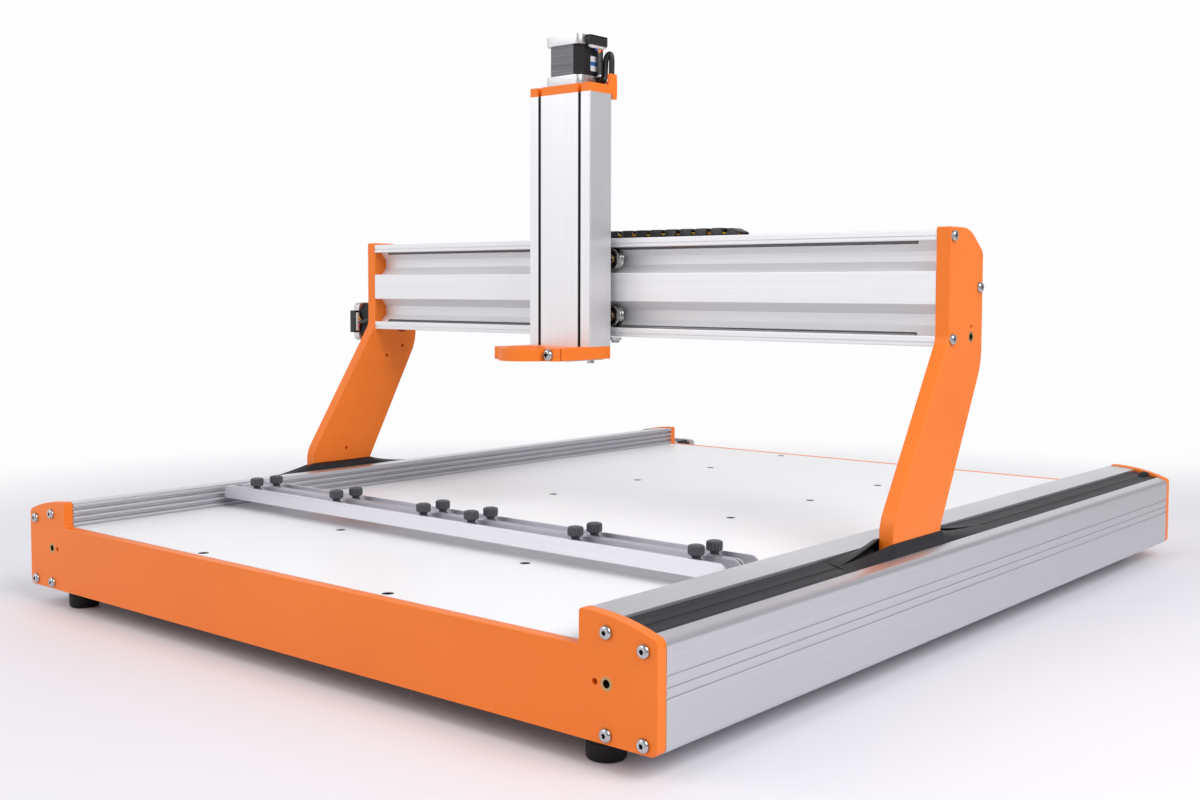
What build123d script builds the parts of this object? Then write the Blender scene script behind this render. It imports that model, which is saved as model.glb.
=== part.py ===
from build123d import *

import os
from math import radians, tan

os.makedirs("parts", exist_ok=True)

# A portal milling machine with a moving gantry. Millimetres. X runs along the front panel, Y to the back,
# Z up. The origin is on the floor under the middle of the frame, and the gantry stands a little in front
# of the middle, with the tool column left of the centre and nearly at the top of its travel.

# Frame
FRAME_W = 840.0
FRAME_D = 1040.0
PANEL_T = 10.0
FOOT_H = 19.0
FOOT_D = 30.0
EAR_W = 70.0  # the raised ends of the panels, as wide as the side profiles
BED_Z = FOOT_H + 66.5
EAR_INNER_Z = FOOT_H + 92.4
EAR_MIDDLE_Z = FOOT_H + 89.6
EAR_OUTER_Z = FOOT_H + 80.2
EAR_CORNER = 6.0
PROFILE_DROP = 1.5  # how far the profiles stay below the panels' ears
WALL_T = 5.0
BED_T = 8.0

HALF_W = FRAME_W / 2
HALF_D = FRAME_D / 2
INNER_X = HALF_W - EAR_W  # inner faces of the side profiles
PROFILE_L = FRAME_D - 2 * PANEL_T

# Screws
SCREW_D = 6.0
HEAD_D = 10.5
HEAD_H = 3.3
HEAD_ROUND = 2.4
PORT_R = 5.4  # outside of the screw ports of the profiles
PLAY = 0.1  # on the radius, between a screw and its hole
RIM = 0.8  # rounding of the cut plates' rims

# Leadscrews and their drives
SCREW_OD = 10.0
JOURNAL_D = 6.0
RUNNING = 0.05  # radial clearance of a journal in its bush and of a leadscrew in its nut
BUSH_OD = 10.2
Y_SCREW_X = 375.5
Y_SCREW_Z = FOOT_H + 42.8
MOTOR_SIDE = 50.0
MOTOR_CAP = 10.7
MOTOR_L = 54.0
STATOR_SIDE = 48.4
SHAFT_IN = 6.0  # how far the shafts reach into the stators
MOTOR_CUT = 8.3  # cut corners of the stator

# Dust slot along the top of each side profile
SLOT_IN = 380.5
SLOT_OUT = 409.7

# Rollers and guide rods
ROD_D = 6.0
ROD_GAP = 0.3  # between a rod and the bottom of the roller's groove
AXLE_D = 6.0
ROLLER_W = 10.0
Y_ROLLER_D = 20.0
X_ROLLER_D = 25.0
GROOVE = 3.0

# Gantry
GANTRY_Y = -68.0  # front face of the beam
LEG_T = 14.0
LEG_IN = 391.5
LEG_OUT = LEG_IN + LEG_T
BEAM_TOP = FOOT_H + 369.0
BEAM_BOTTOM = FOOT_H + 261.0
BEAM_DEPTH = 28.0
LIP_H = 10.0
BAND_LOW = FOOT_H + 299.6
BAND_HIGH = FOOT_H + 331.0
CHANNEL_SHELF = 11.0  # depth of each channel at its lips
CHANNEL_DEEP = 18.6
CHANNEL_BEVEL = 9.0  # height of the two slopes between the lips and the channel's back
LIP_GROOVE = (1.3, 1.1)  # depth and height of the fine groove along each lip
BEAM_ROD_STOP = 22.0  # the rods end this far from the legs, to leave room for their screws
SHELF_Z = FOOT_H + 318.0  # top of the rear shelf that carries the chain
SHELF_T = 6.0
X_SCREW_Y = GANTRY_Y + 46.1
X_SCREW_Z = FOOT_H + 269.4

# Carriage and tool column
COLUMN_X = -31.4
PLATE_T = 4.0
COLUMN_W = 87.5
COLUMN_FRONT = GANTRY_Y - 46.7
COLUMN_BACK = GANTRY_Y - 10.5
COLUMN_LOW = FOOT_H + 251.0
COLUMN_HIGH = FOOT_H + 524.0
TOP_PLATE_T = 9.5
CLAMP_T = 13.6
TOOL_R = 21.5  # a 43 mm collar
TOOL_Y = GANTRY_Y - 99.2
CLAMP_RING_R = 29.7
Z_SCREW_OD = 8.0
Z_SCREW_Y = COLUMN_BACK - 7.2

# Cable chain behind the beam
CHAIN_H = 15.0
CHAIN_W = 22.0
CHAIN_R = 22.5  # bend radius of its middle line
CHAIN_Y = GANTRY_Y + 42.0
CHAIN_BEND_X = 133.0
CHAIN_FIXED_X = -60.0

# Clamping bars on the bed
BAR_W = 23.0
BAR_H = 14.5
BAR_T = 2.0
BAR_Z = FOOT_H + 77.6
BAR_HALF_L = 343.0
BAR_FRONTS = [-331.0, -305.0]
KNOB_XS = [-299.0, -161.0, -27.0, 40.0, 172.0, 305.0]


def save(builder, name):
    """Labels a finished piece and writes it."""
    builder.part.label = name
    export_step(builder.part, f"parts/{name}.step")


def front_view(y):
    """A plane seen from the front, with X to the right and Z up; extruding by a negative amount goes back."""
    return Plane(origin=(0, y, 0), x_dir=(1, 0, 0), z_dir=(0, -1, 0))


def side_view(x):
    """A plane with Y to the right and Z up; extruding by a positive amount goes to the right."""
    return Plane(origin=(x, 0, 0), x_dir=(0, 1, 0), z_dir=(1, 0, 0))


def left_view(x):
    """The same place seen from the left: extruding by a positive amount goes to the left."""
    return Plane(origin=(x, 0, 0), x_dir=(0, -1, 0), z_dir=(-1, 0, 0))


def lies_on_faces(edge, axis, places):
    """Whether an edge is part of the outline of a plate's two faces, which lie at these places on an axis."""
    at = edge.center().dot(axis.direction)
    return not edge.is_closed and min(abs(at - place) for place in places) < 0.01


# ---------------------------------------------------------------- end panels

# Screws of one ear, as (distance from the panel's end, height), and the leadscrew bush beside them
EAR_SCREWS = [
    (11.7, FOOT_H + 71.2),
    (44.5, FOOT_H + 78.6),
    (11.7, FOOT_H + 7.0),
    (44.5, FOOT_H + 7.0),
]
PEEP_X = Y_SCREW_X - 10.5  # small inspection hole beside the bush
PEEP_D = 4.8
PANEL_SCREW_L = 28.0


def end_panel(y):
    """An end panel whose front face is at y: a low middle at bed height and a raised ear at each end."""
    with BuildPart() as panel:
        with BuildSketch(front_view(y)) as outline:
            with BuildLine():
                crown_in = (INNER_X, EAR_INNER_Z)
                crown_mid = (HALF_W - 36, EAR_MIDDLE_Z)
                crown_out = (HALF_W, EAR_OUTER_Z - 1.0)
                Line((0, FOOT_H), (HALF_W, FOOT_H))
                Line((HALF_W, FOOT_H), crown_out)
                ThreePointArc(crown_out, crown_mid, crown_in)
                Line(crown_in, (INNER_X, BED_Z))
                Line((INNER_X, BED_Z), (0, BED_Z))
                mirror(about=Plane.YZ)
            make_face()
            corners = outline.vertices().filter_by(lambda v: abs(v.X) > HALF_W - 1)
            fillet(corners, EAR_CORNER)
            steps = outline.vertices().filter_by(lambda v: abs(abs(v.X) - INNER_X) < 0.01)
            fillet(steps, 3.0)
            with Locations([(s * (HALF_W - d), z) for s in (-1, 1) for d, z in EAR_SCREWS]):
                Circle(SCREW_D / 2 + PLAY, mode=Mode.SUBTRACT)
            with Locations([(s * Y_SCREW_X, Y_SCREW_Z) for s in (-1, 1)]):
                Circle(BUSH_OD / 2, mode=Mode.SUBTRACT)
            with Locations([(s * PEEP_X, Y_SCREW_Z) for s in (-1, 1)]):
                Circle(PEEP_D / 2, mode=Mode.SUBTRACT)
        extrude(amount=-PANEL_T)
        fillet(panel.edges().filter_by(lambda e: lies_on_faces(e, Axis.Y, (y, y + PANEL_T))), RIM)
    return panel


front_panel = end_panel(-HALF_D)
save(front_panel, "front_panel")
rear_panel = end_panel(HALF_D - PANEL_T)
save(rear_panel, "rear_panel")


with BuildPart() as panel_screws:
    for y, side in ((-HALF_D, 1), (HALF_D, -1)):
        with BuildSketch(front_view(y)):
            with Locations([(s * (HALF_W - d), z) for s in (-1, 1) for d, z in EAR_SCREWS]):
                Circle(HEAD_D / 2)
        extrude(amount=side * HEAD_H)
        with BuildSketch(front_view(y)):
            with Locations([(s * (HALF_W - d), z) for s in (-1, 1) for d, z in EAR_SCREWS]):
                Circle(SCREW_D / 2 - PLAY)
        extrude(amount=-side * PANEL_SCREW_L)
    rims = panel_screws.edges().filter_by(GeomType.CIRCLE).filter_by(
        lambda e: abs(e.center().Y) > HALF_D + HEAD_H - 0.01
    )
    fillet(rims, HEAD_ROUND)
save(panel_screws, "panel_screws")

# ---------------------------------------------------------------- side profiles

PROFILE_TOP_IN = EAR_INNER_Z - PROFILE_DROP
PROFILE_TOP_MID = EAR_MIDDLE_Z - PROFILE_DROP
PROFILE_TOP_OUT = EAR_OUTER_Z - PROFILE_DROP - 1.0
RIB_PITCH = 6.4
RIB_HALF = 1.8
RIB_PROUD = 1.0
OUTER_GROOVES = [FOOT_H + 54.8, FOOT_H + 46.4, FOOT_H + 39.1]
RIB_GROOVE_Z = BAR_Z + BAR_T / 2  # the groove that takes the bars' tongues
TONGUE_GROOVE = 2.8
ROD_X = 374.0
ROD_LOW_Z = FOOT_H + 14.5
ROD_HIGH_Z = FOOT_H + 71.5
ROD_SEAT_W = 10.0
ROD_SEAT_HIGH = 12.5
INNER_WALL_T = 7.0
OUTER_WALL_T = 6.0

with BuildPart() as right_side_profile:
    with BuildSketch(front_view(0)) as section:
        with BuildLine():
            top_in = (INNER_X, PROFILE_TOP_IN)
            top_mid = (HALF_W - 36, PROFILE_TOP_MID)
            top_out = (HALF_W, PROFILE_TOP_OUT)
            Line((INNER_X, FOOT_H), (HALF_W, FOOT_H))
            Line((HALF_W, FOOT_H), top_out)
            ThreePointArc(top_out, top_mid, top_in)
            Line(top_in, (INNER_X, FOOT_H))
        make_face()
        outer = section.vertices().filter_by(lambda v: v.X > HALF_W - 1)
        fillet(outer, EAR_CORNER - 0.5)
        # The hollow, with the same crowned top, is cut out of the outline
        with BuildLine():
            low_in = (INNER_X + INNER_WALL_T, FOOT_H + WALL_T)
            low_out = (HALF_W - OUTER_WALL_T, FOOT_H + WALL_T)
            high_out = (HALF_W - OUTER_WALL_T, PROFILE_TOP_OUT - 3.6)
            high_mid = (HALF_W - 36, PROFILE_TOP_MID - WALL_T)
            high_in = (INNER_X + INNER_WALL_T, PROFILE_TOP_IN - WALL_T)
            Line(low_in, low_out)
            Line(low_out, high_out)
            ThreePointArc(high_out, high_mid, high_in)
            Line(high_in, low_in)
        make_face(mode=Mode.SUBTRACT)
        # Screw ports and the seats of the two guide rods
        with Locations([(HALF_W - d, z) for d, z in EAR_SCREWS]):
            Circle(PORT_R)
        with Locations((ROD_X, FOOT_H + WALL_T)):
            Rectangle(ROD_SEAT_W, ROD_LOW_Z - FOOT_H - WALL_T, align=(Align.CENTER, Align.MIN))
        with Locations((ROD_X, ROD_HIGH_Z)):
            Rectangle(ROD_SEAT_W, ROD_SEAT_HIGH, align=(Align.CENTER, Align.MIN))
        # Dust slot
        with Locations(((SLOT_IN + SLOT_OUT) / 2, FOOT_H + 84.0)):
            Rectangle(SLOT_OUT - SLOT_IN, 15.0, mode=Mode.SUBTRACT)
        with Locations([(HALF_W - d, z) for d, z in EAR_SCREWS]):
            Circle(SCREW_D / 2, mode=Mode.SUBTRACT)
        with Locations([(ROD_X, ROD_LOW_Z), (ROD_X, ROD_HIGH_Z)]):
            Circle(ROD_D / 2, mode=Mode.SUBTRACT)
        # Three fine grooves along the outer face
        with Locations([(HALF_W, z) for z in OUTER_GROOVES]):
            Rectangle(1.6, 2.1, mode=Mode.SUBTRACT)
        # The inner face above the bed: rounded ribs with a narrow groove between each two
        for groove in range(3):
            z = RIB_GROOVE_Z + (groove - 1) * RIB_PITCH
            with Locations((INNER_X, z)):
                SlotOverall(6.0, TONGUE_GROOVE, mode=Mode.SUBTRACT)
        for rib in range(4):
            z = RIB_GROOVE_Z + (rib - 1.5) * RIB_PITCH
            with BuildLine():
                rib_low = (INNER_X, max(z - RIB_HALF, BED_Z + 0.3))
                rib_high = (INNER_X, z + RIB_HALF)
                ThreePointArc(rib_low, (INNER_X - RIB_PROUD, z), rib_high)
                Line(rib_high, rib_low)
            make_face()
    extrude(amount=PROFILE_L / 2, both=True)
save(right_side_profile, "right_side_profile")

with BuildPart() as left_side_profile:
    mirror(right_side_profile.part, about=Plane.YZ)
save(left_side_profile, "left_side_profile")

with BuildPart() as y_guide_rods:
    with BuildSketch(front_view(0)):
        with Locations([(s * ROD_X, z) for s in (-1, 1) for z in (ROD_LOW_Z, ROD_HIGH_Z)]):
            Circle(ROD_D / 2)
    extrude(amount=PROFILE_L / 2, both=True)
save(y_guide_rods, "y_guide_rods")

# Two rubber lips close the slot of each profile. They are drawn parted by the leg's thickness, because
# they open and close around the leg as it passes.
LIP_GAP = 0.3
LIP_T = 3.0
LIP_HIGH = FOOT_H + 87.0
LIP_LOW = FOOT_H + 80.3
LIP_FALL = (LIP_HIGH - LIP_LOW) / (SLOT_OUT - SLOT_IN)


def lip_corners(x_from, x_to):
    """The corners of one lip, which follows the slope of the profile's crown."""
    z_from = LIP_HIGH - LIP_FALL * (x_from - SLOT_IN)
    z_to = LIP_HIGH - LIP_FALL * (x_to - SLOT_IN)
    return [(x_from, z_from), (x_to, z_to), (x_to, z_to - LIP_T), (x_from, z_from - LIP_T)]


with BuildPart() as dust_lips:
    with BuildSketch(front_view(0)):
        for x_from, x_to in ((SLOT_IN, LEG_IN - LIP_GAP), (LEG_OUT + LIP_GAP, SLOT_OUT)):
            with BuildLine():
                Polyline(lip_corners(x_from, x_to), close=True)
            make_face()
        mirror(about=Plane.YZ)
    extrude(amount=PROFILE_L / 2, both=True)
save(dust_lips, "dust_lips")

# ---------------------------------------------------------------- bed

HOLE_XS = [-129.5, 129.5]
HOLE_PITCH = 162.3
HOLE_YS = [-HALF_D + 18.0 + row * HOLE_PITCH for row in range(6)] + [HALF_D - 30.0]
CROSSBAR = (40.0, 20.0)
BED_HALF_W = INNER_X - 0.5
BED_HALF_L = PROFILE_L / 2 - 0.5
BED_HEAD_D = 10.4
BED_HEAD_H = 4.0
BED_SINK = 4.3  # depth of the counterbores
BED_SCREW_D = 4.8

with BuildPart() as machine_bed:
    with BuildSketch(Plane.XY.offset(BED_Z - BED_T)):
        Rectangle(2 * BED_HALF_W, 2 * BED_HALF_L)
    extrude(amount=BED_T)
    with Locations([(x, y, BED_Z) for x in HOLE_XS for y in HOLE_YS]):
        CounterBoreHole(BED_SCREW_D / 2 + PLAY, BED_HEAD_D / 2 + PLAY, BED_SINK)
save(machine_bed, "machine_bed")

with BuildPart() as bed_crossbars:
    for y in HOLE_YS:
        reach = PROFILE_L / 2 - CROSSBAR[0] / 2 - 0.5
        y_bar = max(-reach, min(reach, y))
        with BuildSketch(side_view(-INNER_X)):
            with Locations((y_bar, BED_Z - BED_T - CROSSBAR[1] / 2)):
                RectangleRounded(CROSSBAR[0], CROSSBAR[1], 1.0)
                Rectangle(CROSSBAR[0] - 6.0, CROSSBAR[1] - 6.0, mode=Mode.SUBTRACT)
                Rectangle(3.0, CROSSBAR[1] - 6.0)
        extrude(amount=2 * INNER_X)
    with Locations([(x, y, BED_Z - BED_T) for x in HOLE_XS for y in HOLE_YS]):
        Hole(BED_SCREW_D / 2 + PLAY, depth=18.0)
save(bed_crossbars, "bed_crossbars")

with BuildPart() as bed_screws:
    with BuildSketch(Plane.XY.offset(BED_Z - BED_SINK)):
        with Locations([(x, y) for x in HOLE_XS for y in HOLE_YS]):
            Circle(BED_HEAD_D / 2)
    extrude(amount=BED_HEAD_H)
    with BuildSketch(Plane.XY.offset(BED_Z - BED_SINK)):
        with Locations([(x, y) for x in HOLE_XS for y in HOLE_YS]):
            Circle(BED_SCREW_D / 2)
    extrude(amount=-19.0)
save(bed_screws, "bed_screws")

FOOT_AT = (356.0, 496.0)
FOOT_HOLE_D = 6.6  # for a screw that holds the machine down

with BuildPart() as rubber_feet:
    with BuildSketch(Plane.XY):
        with Locations([(sx * FOOT_AT[0], sy * FOOT_AT[1]) for sx in (-1, 1) for sy in (-1, 1)]):
            Circle(FOOT_D / 2)
    extrude(amount=FOOT_H)
    fillet(rubber_feet.edges().group_by(Axis.Z)[0], 2.5)
    with BuildSketch(Plane.XY):
        with Locations([(sx * FOOT_AT[0], sy * FOOT_AT[1]) for sx in (-1, 1) for sy in (-1, 1)]):
            Circle(FOOT_HOLE_D / 2)
    extrude(amount=FOOT_H, mode=Mode.SUBTRACT)
save(rubber_feet, "rubber_feet")

# ---------------------------------------------------------------- Y drives

BUSH_END = HALF_D - PANEL_T

with BuildPart() as y_screw_bushes:
    for y in (-HALF_D, BUSH_END):
        with BuildSketch(front_view(y)):
            with Locations([(s * Y_SCREW_X, Y_SCREW_Z) for s in (-1, 1)]):
                Circle(BUSH_OD / 2)
                Circle(JOURNAL_D / 2 + RUNNING, mode=Mode.SUBTRACT)
        extrude(amount=-PANEL_T)
save(y_screw_bushes, "y_screw_bushes")


def leadscrew(start, thread_from, thread_to, end, thread_d):
    """A leadscrew along the plane's normal, with a journal at each end; places are along that normal."""
    with BuildPart() as screw:
        for first, last, diameter in (
            (0.0, thread_from, JOURNAL_D),
            (thread_from, thread_to, thread_d),
            (thread_to, end, JOURNAL_D),
        ):
            if last > first:
                with BuildSketch(start.offset(first)):
                    Circle(diameter / 2)
                extrude(amount=last - first)
    return screw


def motor_end_caps(planes):
    """The two die-cast caps of each motor, the first with the bore for the shaft."""
    with BuildPart() as caps:
        for plane in planes:
            with BuildSketch(plane, plane.offset(MOTOR_L - MOTOR_CAP)):
                RectangleRounded(MOTOR_SIDE, MOTOR_SIDE, 5.0)
            extrude(amount=MOTOR_CAP)
            with BuildSketch(plane):
                Circle(JOURNAL_D / 2 + PLAY)
            extrude(amount=MOTOR_CAP, mode=Mode.SUBTRACT)
    return caps


def motor_stators(planes):
    """The laminated body between the caps, with cut corners and a blind bore for the shaft."""
    with BuildPart() as stators:
        for plane in planes:
            with BuildSketch(plane.offset(MOTOR_CAP)) as stack:
                Rectangle(STATOR_SIDE, STATOR_SIDE)
                chamfer(stack.vertices(), MOTOR_CUT)
            extrude(amount=MOTOR_L - 2 * MOTOR_CAP)
            with BuildSketch(plane.offset(MOTOR_CAP)):
                Circle(JOURNAL_D / 2 + PLAY)
            extrude(amount=SHAFT_IN + 2.0, mode=Mode.SUBTRACT)
    return stators


def back_facing(x, y, z):
    """A plane whose normal points back."""
    return Plane(origin=(x, y, z), x_dir=(-1, 0, 0), z_dir=(0, 1, 0))


y_motor_planes = [back_facing(s * Y_SCREW_X, HALF_D, Y_SCREW_Z) for s in (-1, 1)]
y_motor_end_caps = motor_end_caps(y_motor_planes)
save(y_motor_end_caps, "y_motor_end_caps")
y_motor_stators = motor_stators(y_motor_planes)
save(y_motor_stators, "y_motor_stators")

JOURNAL_RECESS = 5.0
SHAFT_INTO_MOTOR = MOTOR_CAP + SHAFT_IN
y_screw_span = FRAME_D - JOURNAL_RECESS + SHAFT_INTO_MOTOR
for side, name in ((-1, "left_y_leadscrew"), (1, "right_y_leadscrew")):
    y_leadscrew = leadscrew(
        back_facing(side * Y_SCREW_X, -HALF_D + JOURNAL_RECESS, Y_SCREW_Z),
        PANEL_T - JOURNAL_RECESS + 1.0,
        FRAME_D - JOURNAL_RECESS - PANEL_T - 1.0,
        y_screw_span,
        SCREW_OD,
    )
    save(y_leadscrew, name)

# ---------------------------------------------------------------- clamping bars

TONGUE_END = INNER_X + 1.8
TONGUE_W = 16.0
SHANK_TIP_Z = BAR_Z - 1.6
COLLAR_Z = BAR_Z + 8.8
HEAD_LOW_Z = BAR_Z + 15.5
KNOB_TOP_Z = BAR_Z + 25.0
COLLAR_R = 5.3
KNOB_R = 7.4

for name, front in zip(("front", "rear"), BAR_FRONTS):
    middle = front + BAR_W / 2
    with BuildPart() as clamp_bar:
        with BuildSketch(Plane.XY.offset(BAR_Z)):
            with Locations((0, middle)):
                Rectangle(2 * BAR_HALF_L, BAR_W)
                Rectangle(2 * TONGUE_END, TONGUE_W)
            with Locations([(x, middle) for x in KNOB_XS]):
                Circle(SCREW_D / 2 + RUNNING, mode=Mode.SUBTRACT)
        extrude(amount=BAR_T)
        for flange in (front, front + BAR_W - BAR_T):
            with BuildSketch(front_view(flange)) as side_wall:
                with Locations((0, BAR_Z + BAR_H / 2)):
                    Rectangle(2 * BAR_HALF_L, BAR_H)
                fillet(side_wall.vertices().group_by(Axis.Y)[-1], 8.0)
            extrude(amount=-BAR_T)
    save(clamp_bar, f"{name}_clamp_bar")

    with BuildPart() as thumbscrews:
        with BuildSketch(Plane.XZ):
            with BuildLine():
                Polyline(
                    (0, SHANK_TIP_Z),
                    (SCREW_D / 2, SHANK_TIP_Z),
                    (SCREW_D / 2, COLLAR_Z),
                    (COLLAR_R, COLLAR_Z),
                    (COLLAR_R, HEAD_LOW_Z),
                    (KNOB_R, HEAD_LOW_Z + 2.3),
                    (KNOB_R, KNOB_TOP_Z - 1.2),
                    (KNOB_R - 1.2, KNOB_TOP_Z),
                    (0, KNOB_TOP_Z),
                    close=True,
                )
            make_face()
        revolve(axis=Axis.Z)
        one_screw = thumbscrews.part
    with BuildPart() as screw_row:
        with Locations([(x, middle, 0) for x in KNOB_XS]):
            add(one_screw)
    save(screw_row, f"{name}_thumbscrews")

# ---------------------------------------------------------------- gantry

# The leg's outline, as (distance behind the beam's front face, height above the base, corner radius)
LEG_CORNERS = [
    (-100.5, 14.0, 4.0),
    (-9.8, 14.0, 4.0),
    (-9.8, 97.0, 12.0),
    (70.0, 243.4, 60.0),
    (70.0, 349.5, 10.0),
    (41.0, 371.4, 40.0),
    (0.0, 371.4, 1.5),
    (0.0, 267.0, 18.0),
    (-100.5, 110.0, 35.0),
]
RELIEF_Z = FOOT_H + 77.6  # below this height the leg's outer side is cut back, inside the profile
RELIEF_X = LEG_IN + 9.0
LEG_SCREWS = [(6.4, 363.0), (62.6, 316.0), (6.4, 268.0)]
PEEP_UP = 9.7
FOOT_Y = GANTRY_Y - 53.2
Y_AXLE_YS = [FOOT_Y - 30.0, FOOT_Y + 30.0]
Y_REACH = ROD_D / 2 + ROD_GAP + Y_ROLLER_D / 2 - GROOVE  # from a rod's centre to its roller's centre
Y_AXLE_ZS = {"lower": ROD_LOW_Z + Y_REACH, "upper": ROD_HIGH_Z - Y_REACH}
INNER_HOLES = [(46.2, 238.6), (19.3, 226.5), (-49.1, 111.3)]
INNER_HOLE_D = 4.4
PILOT_D = 26.0  # opening in the left leg in front of the motor
LEG_PEEP_D = 3.8


def leg(side):
    """A cut plate that leans back from its foot in the side profile up to the beam."""
    with BuildPart() as plate:
        with BuildSketch(side_view(LEG_IN if side > 0 else -LEG_OUT)):
            with BuildLine():
                corners = [(GANTRY_Y + y, FOOT_H + z) for y, z, r in LEG_CORNERS]
                FilletPolyline(*corners, radius=[r for y, z, r in LEG_CORNERS], close=True)
            make_face()
            with Locations([(GANTRY_Y + y, FOOT_H + z) for y, z in LEG_SCREWS]):
                Circle(SCREW_D / 2 + PLAY, mode=Mode.SUBTRACT)
            with Locations([(y, z) for y in Y_AXLE_YS for z in Y_AXLE_ZS.values()]):
                Circle(AXLE_D / 2 + PLAY, mode=Mode.SUBTRACT)
            with Locations((X_SCREW_Y, X_SCREW_Z)):
                Circle((BUSH_OD if side > 0 else PILOT_D) / 2, mode=Mode.SUBTRACT)
            if side > 0:
                with Locations((X_SCREW_Y, X_SCREW_Z + PEEP_UP)):
                    Circle(LEG_PEEP_D / 2, mode=Mode.SUBTRACT)
            else:
                with Locations([(GANTRY_Y + y, FOOT_H + z) for y, z in INNER_HOLES]):
                    Circle(INNER_HOLE_D / 2, mode=Mode.SUBTRACT)
        extrude(amount=LEG_T)
        faces = (side * LEG_IN, side * LEG_OUT)
        fillet(plate.edges().filter_by(lambda e: lies_on_faces(e, Axis.X, faces)), RIM)
        with BuildSketch(side_view(RELIEF_X if side > 0 else -LEG_OUT)):
            with Locations((FOOT_Y, RELIEF_Z)):
                Rectangle(120.0, 80.0, align=(Align.CENTER, Align.MAX))
        extrude(amount=LEG_OUT - RELIEF_X, mode=Mode.SUBTRACT)
    return plate


left_gantry_leg = leg(-1)
save(left_gantry_leg, "left_gantry_leg")
right_gantry_leg = leg(1)
save(right_gantry_leg, "right_gantry_leg")

ROD_IN = 5.5  # the beam's guide rods, behind its front face
BEAM_ROD_ZS = {"lower": BEAM_BOTTOM + LIP_H, "upper": BEAM_TOP - LIP_H}

with BuildPart() as gantry_beam:
    with BuildSketch(side_view(-LEG_IN)) as section:
        with Locations((GANTRY_Y, BEAM_BOTTOM)):
            Rectangle(BEAM_DEPTH, BEAM_TOP - BEAM_BOTTOM, align=Align.MIN)
        # A channel above and below the flat middle band, each with a flat back between two slopes
        for low, high in ((BEAM_BOTTOM + LIP_H, BAND_LOW), (BAND_HIGH, BEAM_TOP - LIP_H)):
            with BuildLine():
                Polyline(
                    (GANTRY_Y, low),
                    (GANTRY_Y + CHANNEL_SHELF, low),
                    (GANTRY_Y + CHANNEL_DEEP, low + CHANNEL_BEVEL),
                    (GANTRY_Y + CHANNEL_DEEP, high - CHANNEL_BEVEL),
                    (GANTRY_Y + CHANNEL_SHELF, high),
                    (GANTRY_Y, high),
                    close=True,
                )
            make_face(mode=Mode.SUBTRACT)
        front_edges = section.vertices().filter_by(lambda v: abs(v.X - GANTRY_Y) < 0.01)
        fillet(front_edges, 1.2)
        with Locations([(GANTRY_Y, z) for z in (BEAM_BOTTOM + LIP_H * 0.4, BEAM_TOP - LIP_H * 0.6)]):
            Rectangle(*LIP_GROOVE, align=(Align.MIN, Align.CENTER), mode=Mode.SUBTRACT)
        # Hollow behind the middle band, then the rear shelf with its screw port
        with Locations((GANTRY_Y + 4.0, (BAND_LOW + BAND_HIGH) / 2)):
            Rectangle(20.0, 20.0, align=(Align.MIN, Align.CENTER), mode=Mode.SUBTRACT)
        with Locations((GANTRY_Y + BEAM_DEPTH, SHELF_Z - SHELF_T / 2)):
            Rectangle(LEG_SCREWS[1][0] - BEAM_DEPTH, SHELF_T, align=(Align.MIN, Align.CENTER))
        with Locations((GANTRY_Y + LEG_SCREWS[1][0], FOOT_H + LEG_SCREWS[1][1])):
            Circle(PORT_R)
        with Locations([(GANTRY_Y + y, FOOT_H + z) for y, z in LEG_SCREWS]):
            Circle(SCREW_D / 2, mode=Mode.SUBTRACT)
        with Locations([(GANTRY_Y + ROD_IN, z) for z in BEAM_ROD_ZS.values()]):
            Circle(ROD_D / 2, mode=Mode.SUBTRACT)
    extrude(amount=2 * LEG_IN)
save(gantry_beam, "gantry_beam")

with BuildPart() as beam_guide_rods:
    with BuildSketch(side_view(0)):
        with Locations([(GANTRY_Y + ROD_IN, z) for z in BEAM_ROD_ZS.values()]):
            Circle(ROD_D / 2)
    extrude(amount=LEG_IN - BEAM_ROD_STOP, both=True)
save(beam_guide_rods, "beam_guide_rods")

ROLLER_INNER = ROD_X - ROLLER_W / 2
ROLLER_OUTER = ROD_X + ROLLER_W / 2
END_PLAY = 0.3
COLLAR_OD = 9.0
AXLE_HEAD = 2.2

# Each of these is (diameter, from, to) along X, on the right-hand side
Y_AXLE_STEPS = [
    (COLLAR_OD, ROLLER_INNER - END_PLAY - 2.2, ROLLER_INNER - END_PLAY),
    (AXLE_D, ROLLER_INNER - END_PLAY, ROLLER_OUTER + END_PLAY),
    (COLLAR_OD, ROLLER_OUTER + END_PLAY, LEG_IN),
    (AXLE_D, LEG_IN, RELIEF_X),
    (10.0, RELIEF_X, RELIEF_X + AXLE_HEAD),
]

with BuildPart() as gantry_bolts:
    for diameter, x_from, x_to in Y_AXLE_STEPS:
        with BuildSketch(side_view(x_from)):
            with Locations([(y, z) for y in Y_AXLE_YS for z in Y_AXLE_ZS.values()]):
                Circle(diameter / 2)
        extrude(amount=x_to - x_from)
    leg_screw_places = [(GANTRY_Y + y, FOOT_H + z) for y, z in LEG_SCREWS]
    with BuildSketch(side_view(LEG_OUT)):
        with Locations(leg_screw_places):
            Circle(HEAD_D / 2)
    extrude(amount=HEAD_H)
    rims = gantry_bolts.edges().filter_by(lambda e: e.center().X > LEG_OUT + HEAD_H - 0.01)
    fillet(rims, HEAD_ROUND)
    with BuildSketch(side_view(LEG_OUT)):
        with Locations(leg_screw_places):
            Circle(SCREW_D / 2 - PLAY)
    extrude(amount=-(LEG_T + 20.0))
    mirror(about=Plane.YZ)
save(gantry_bolts, "gantry_bolts")


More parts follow.
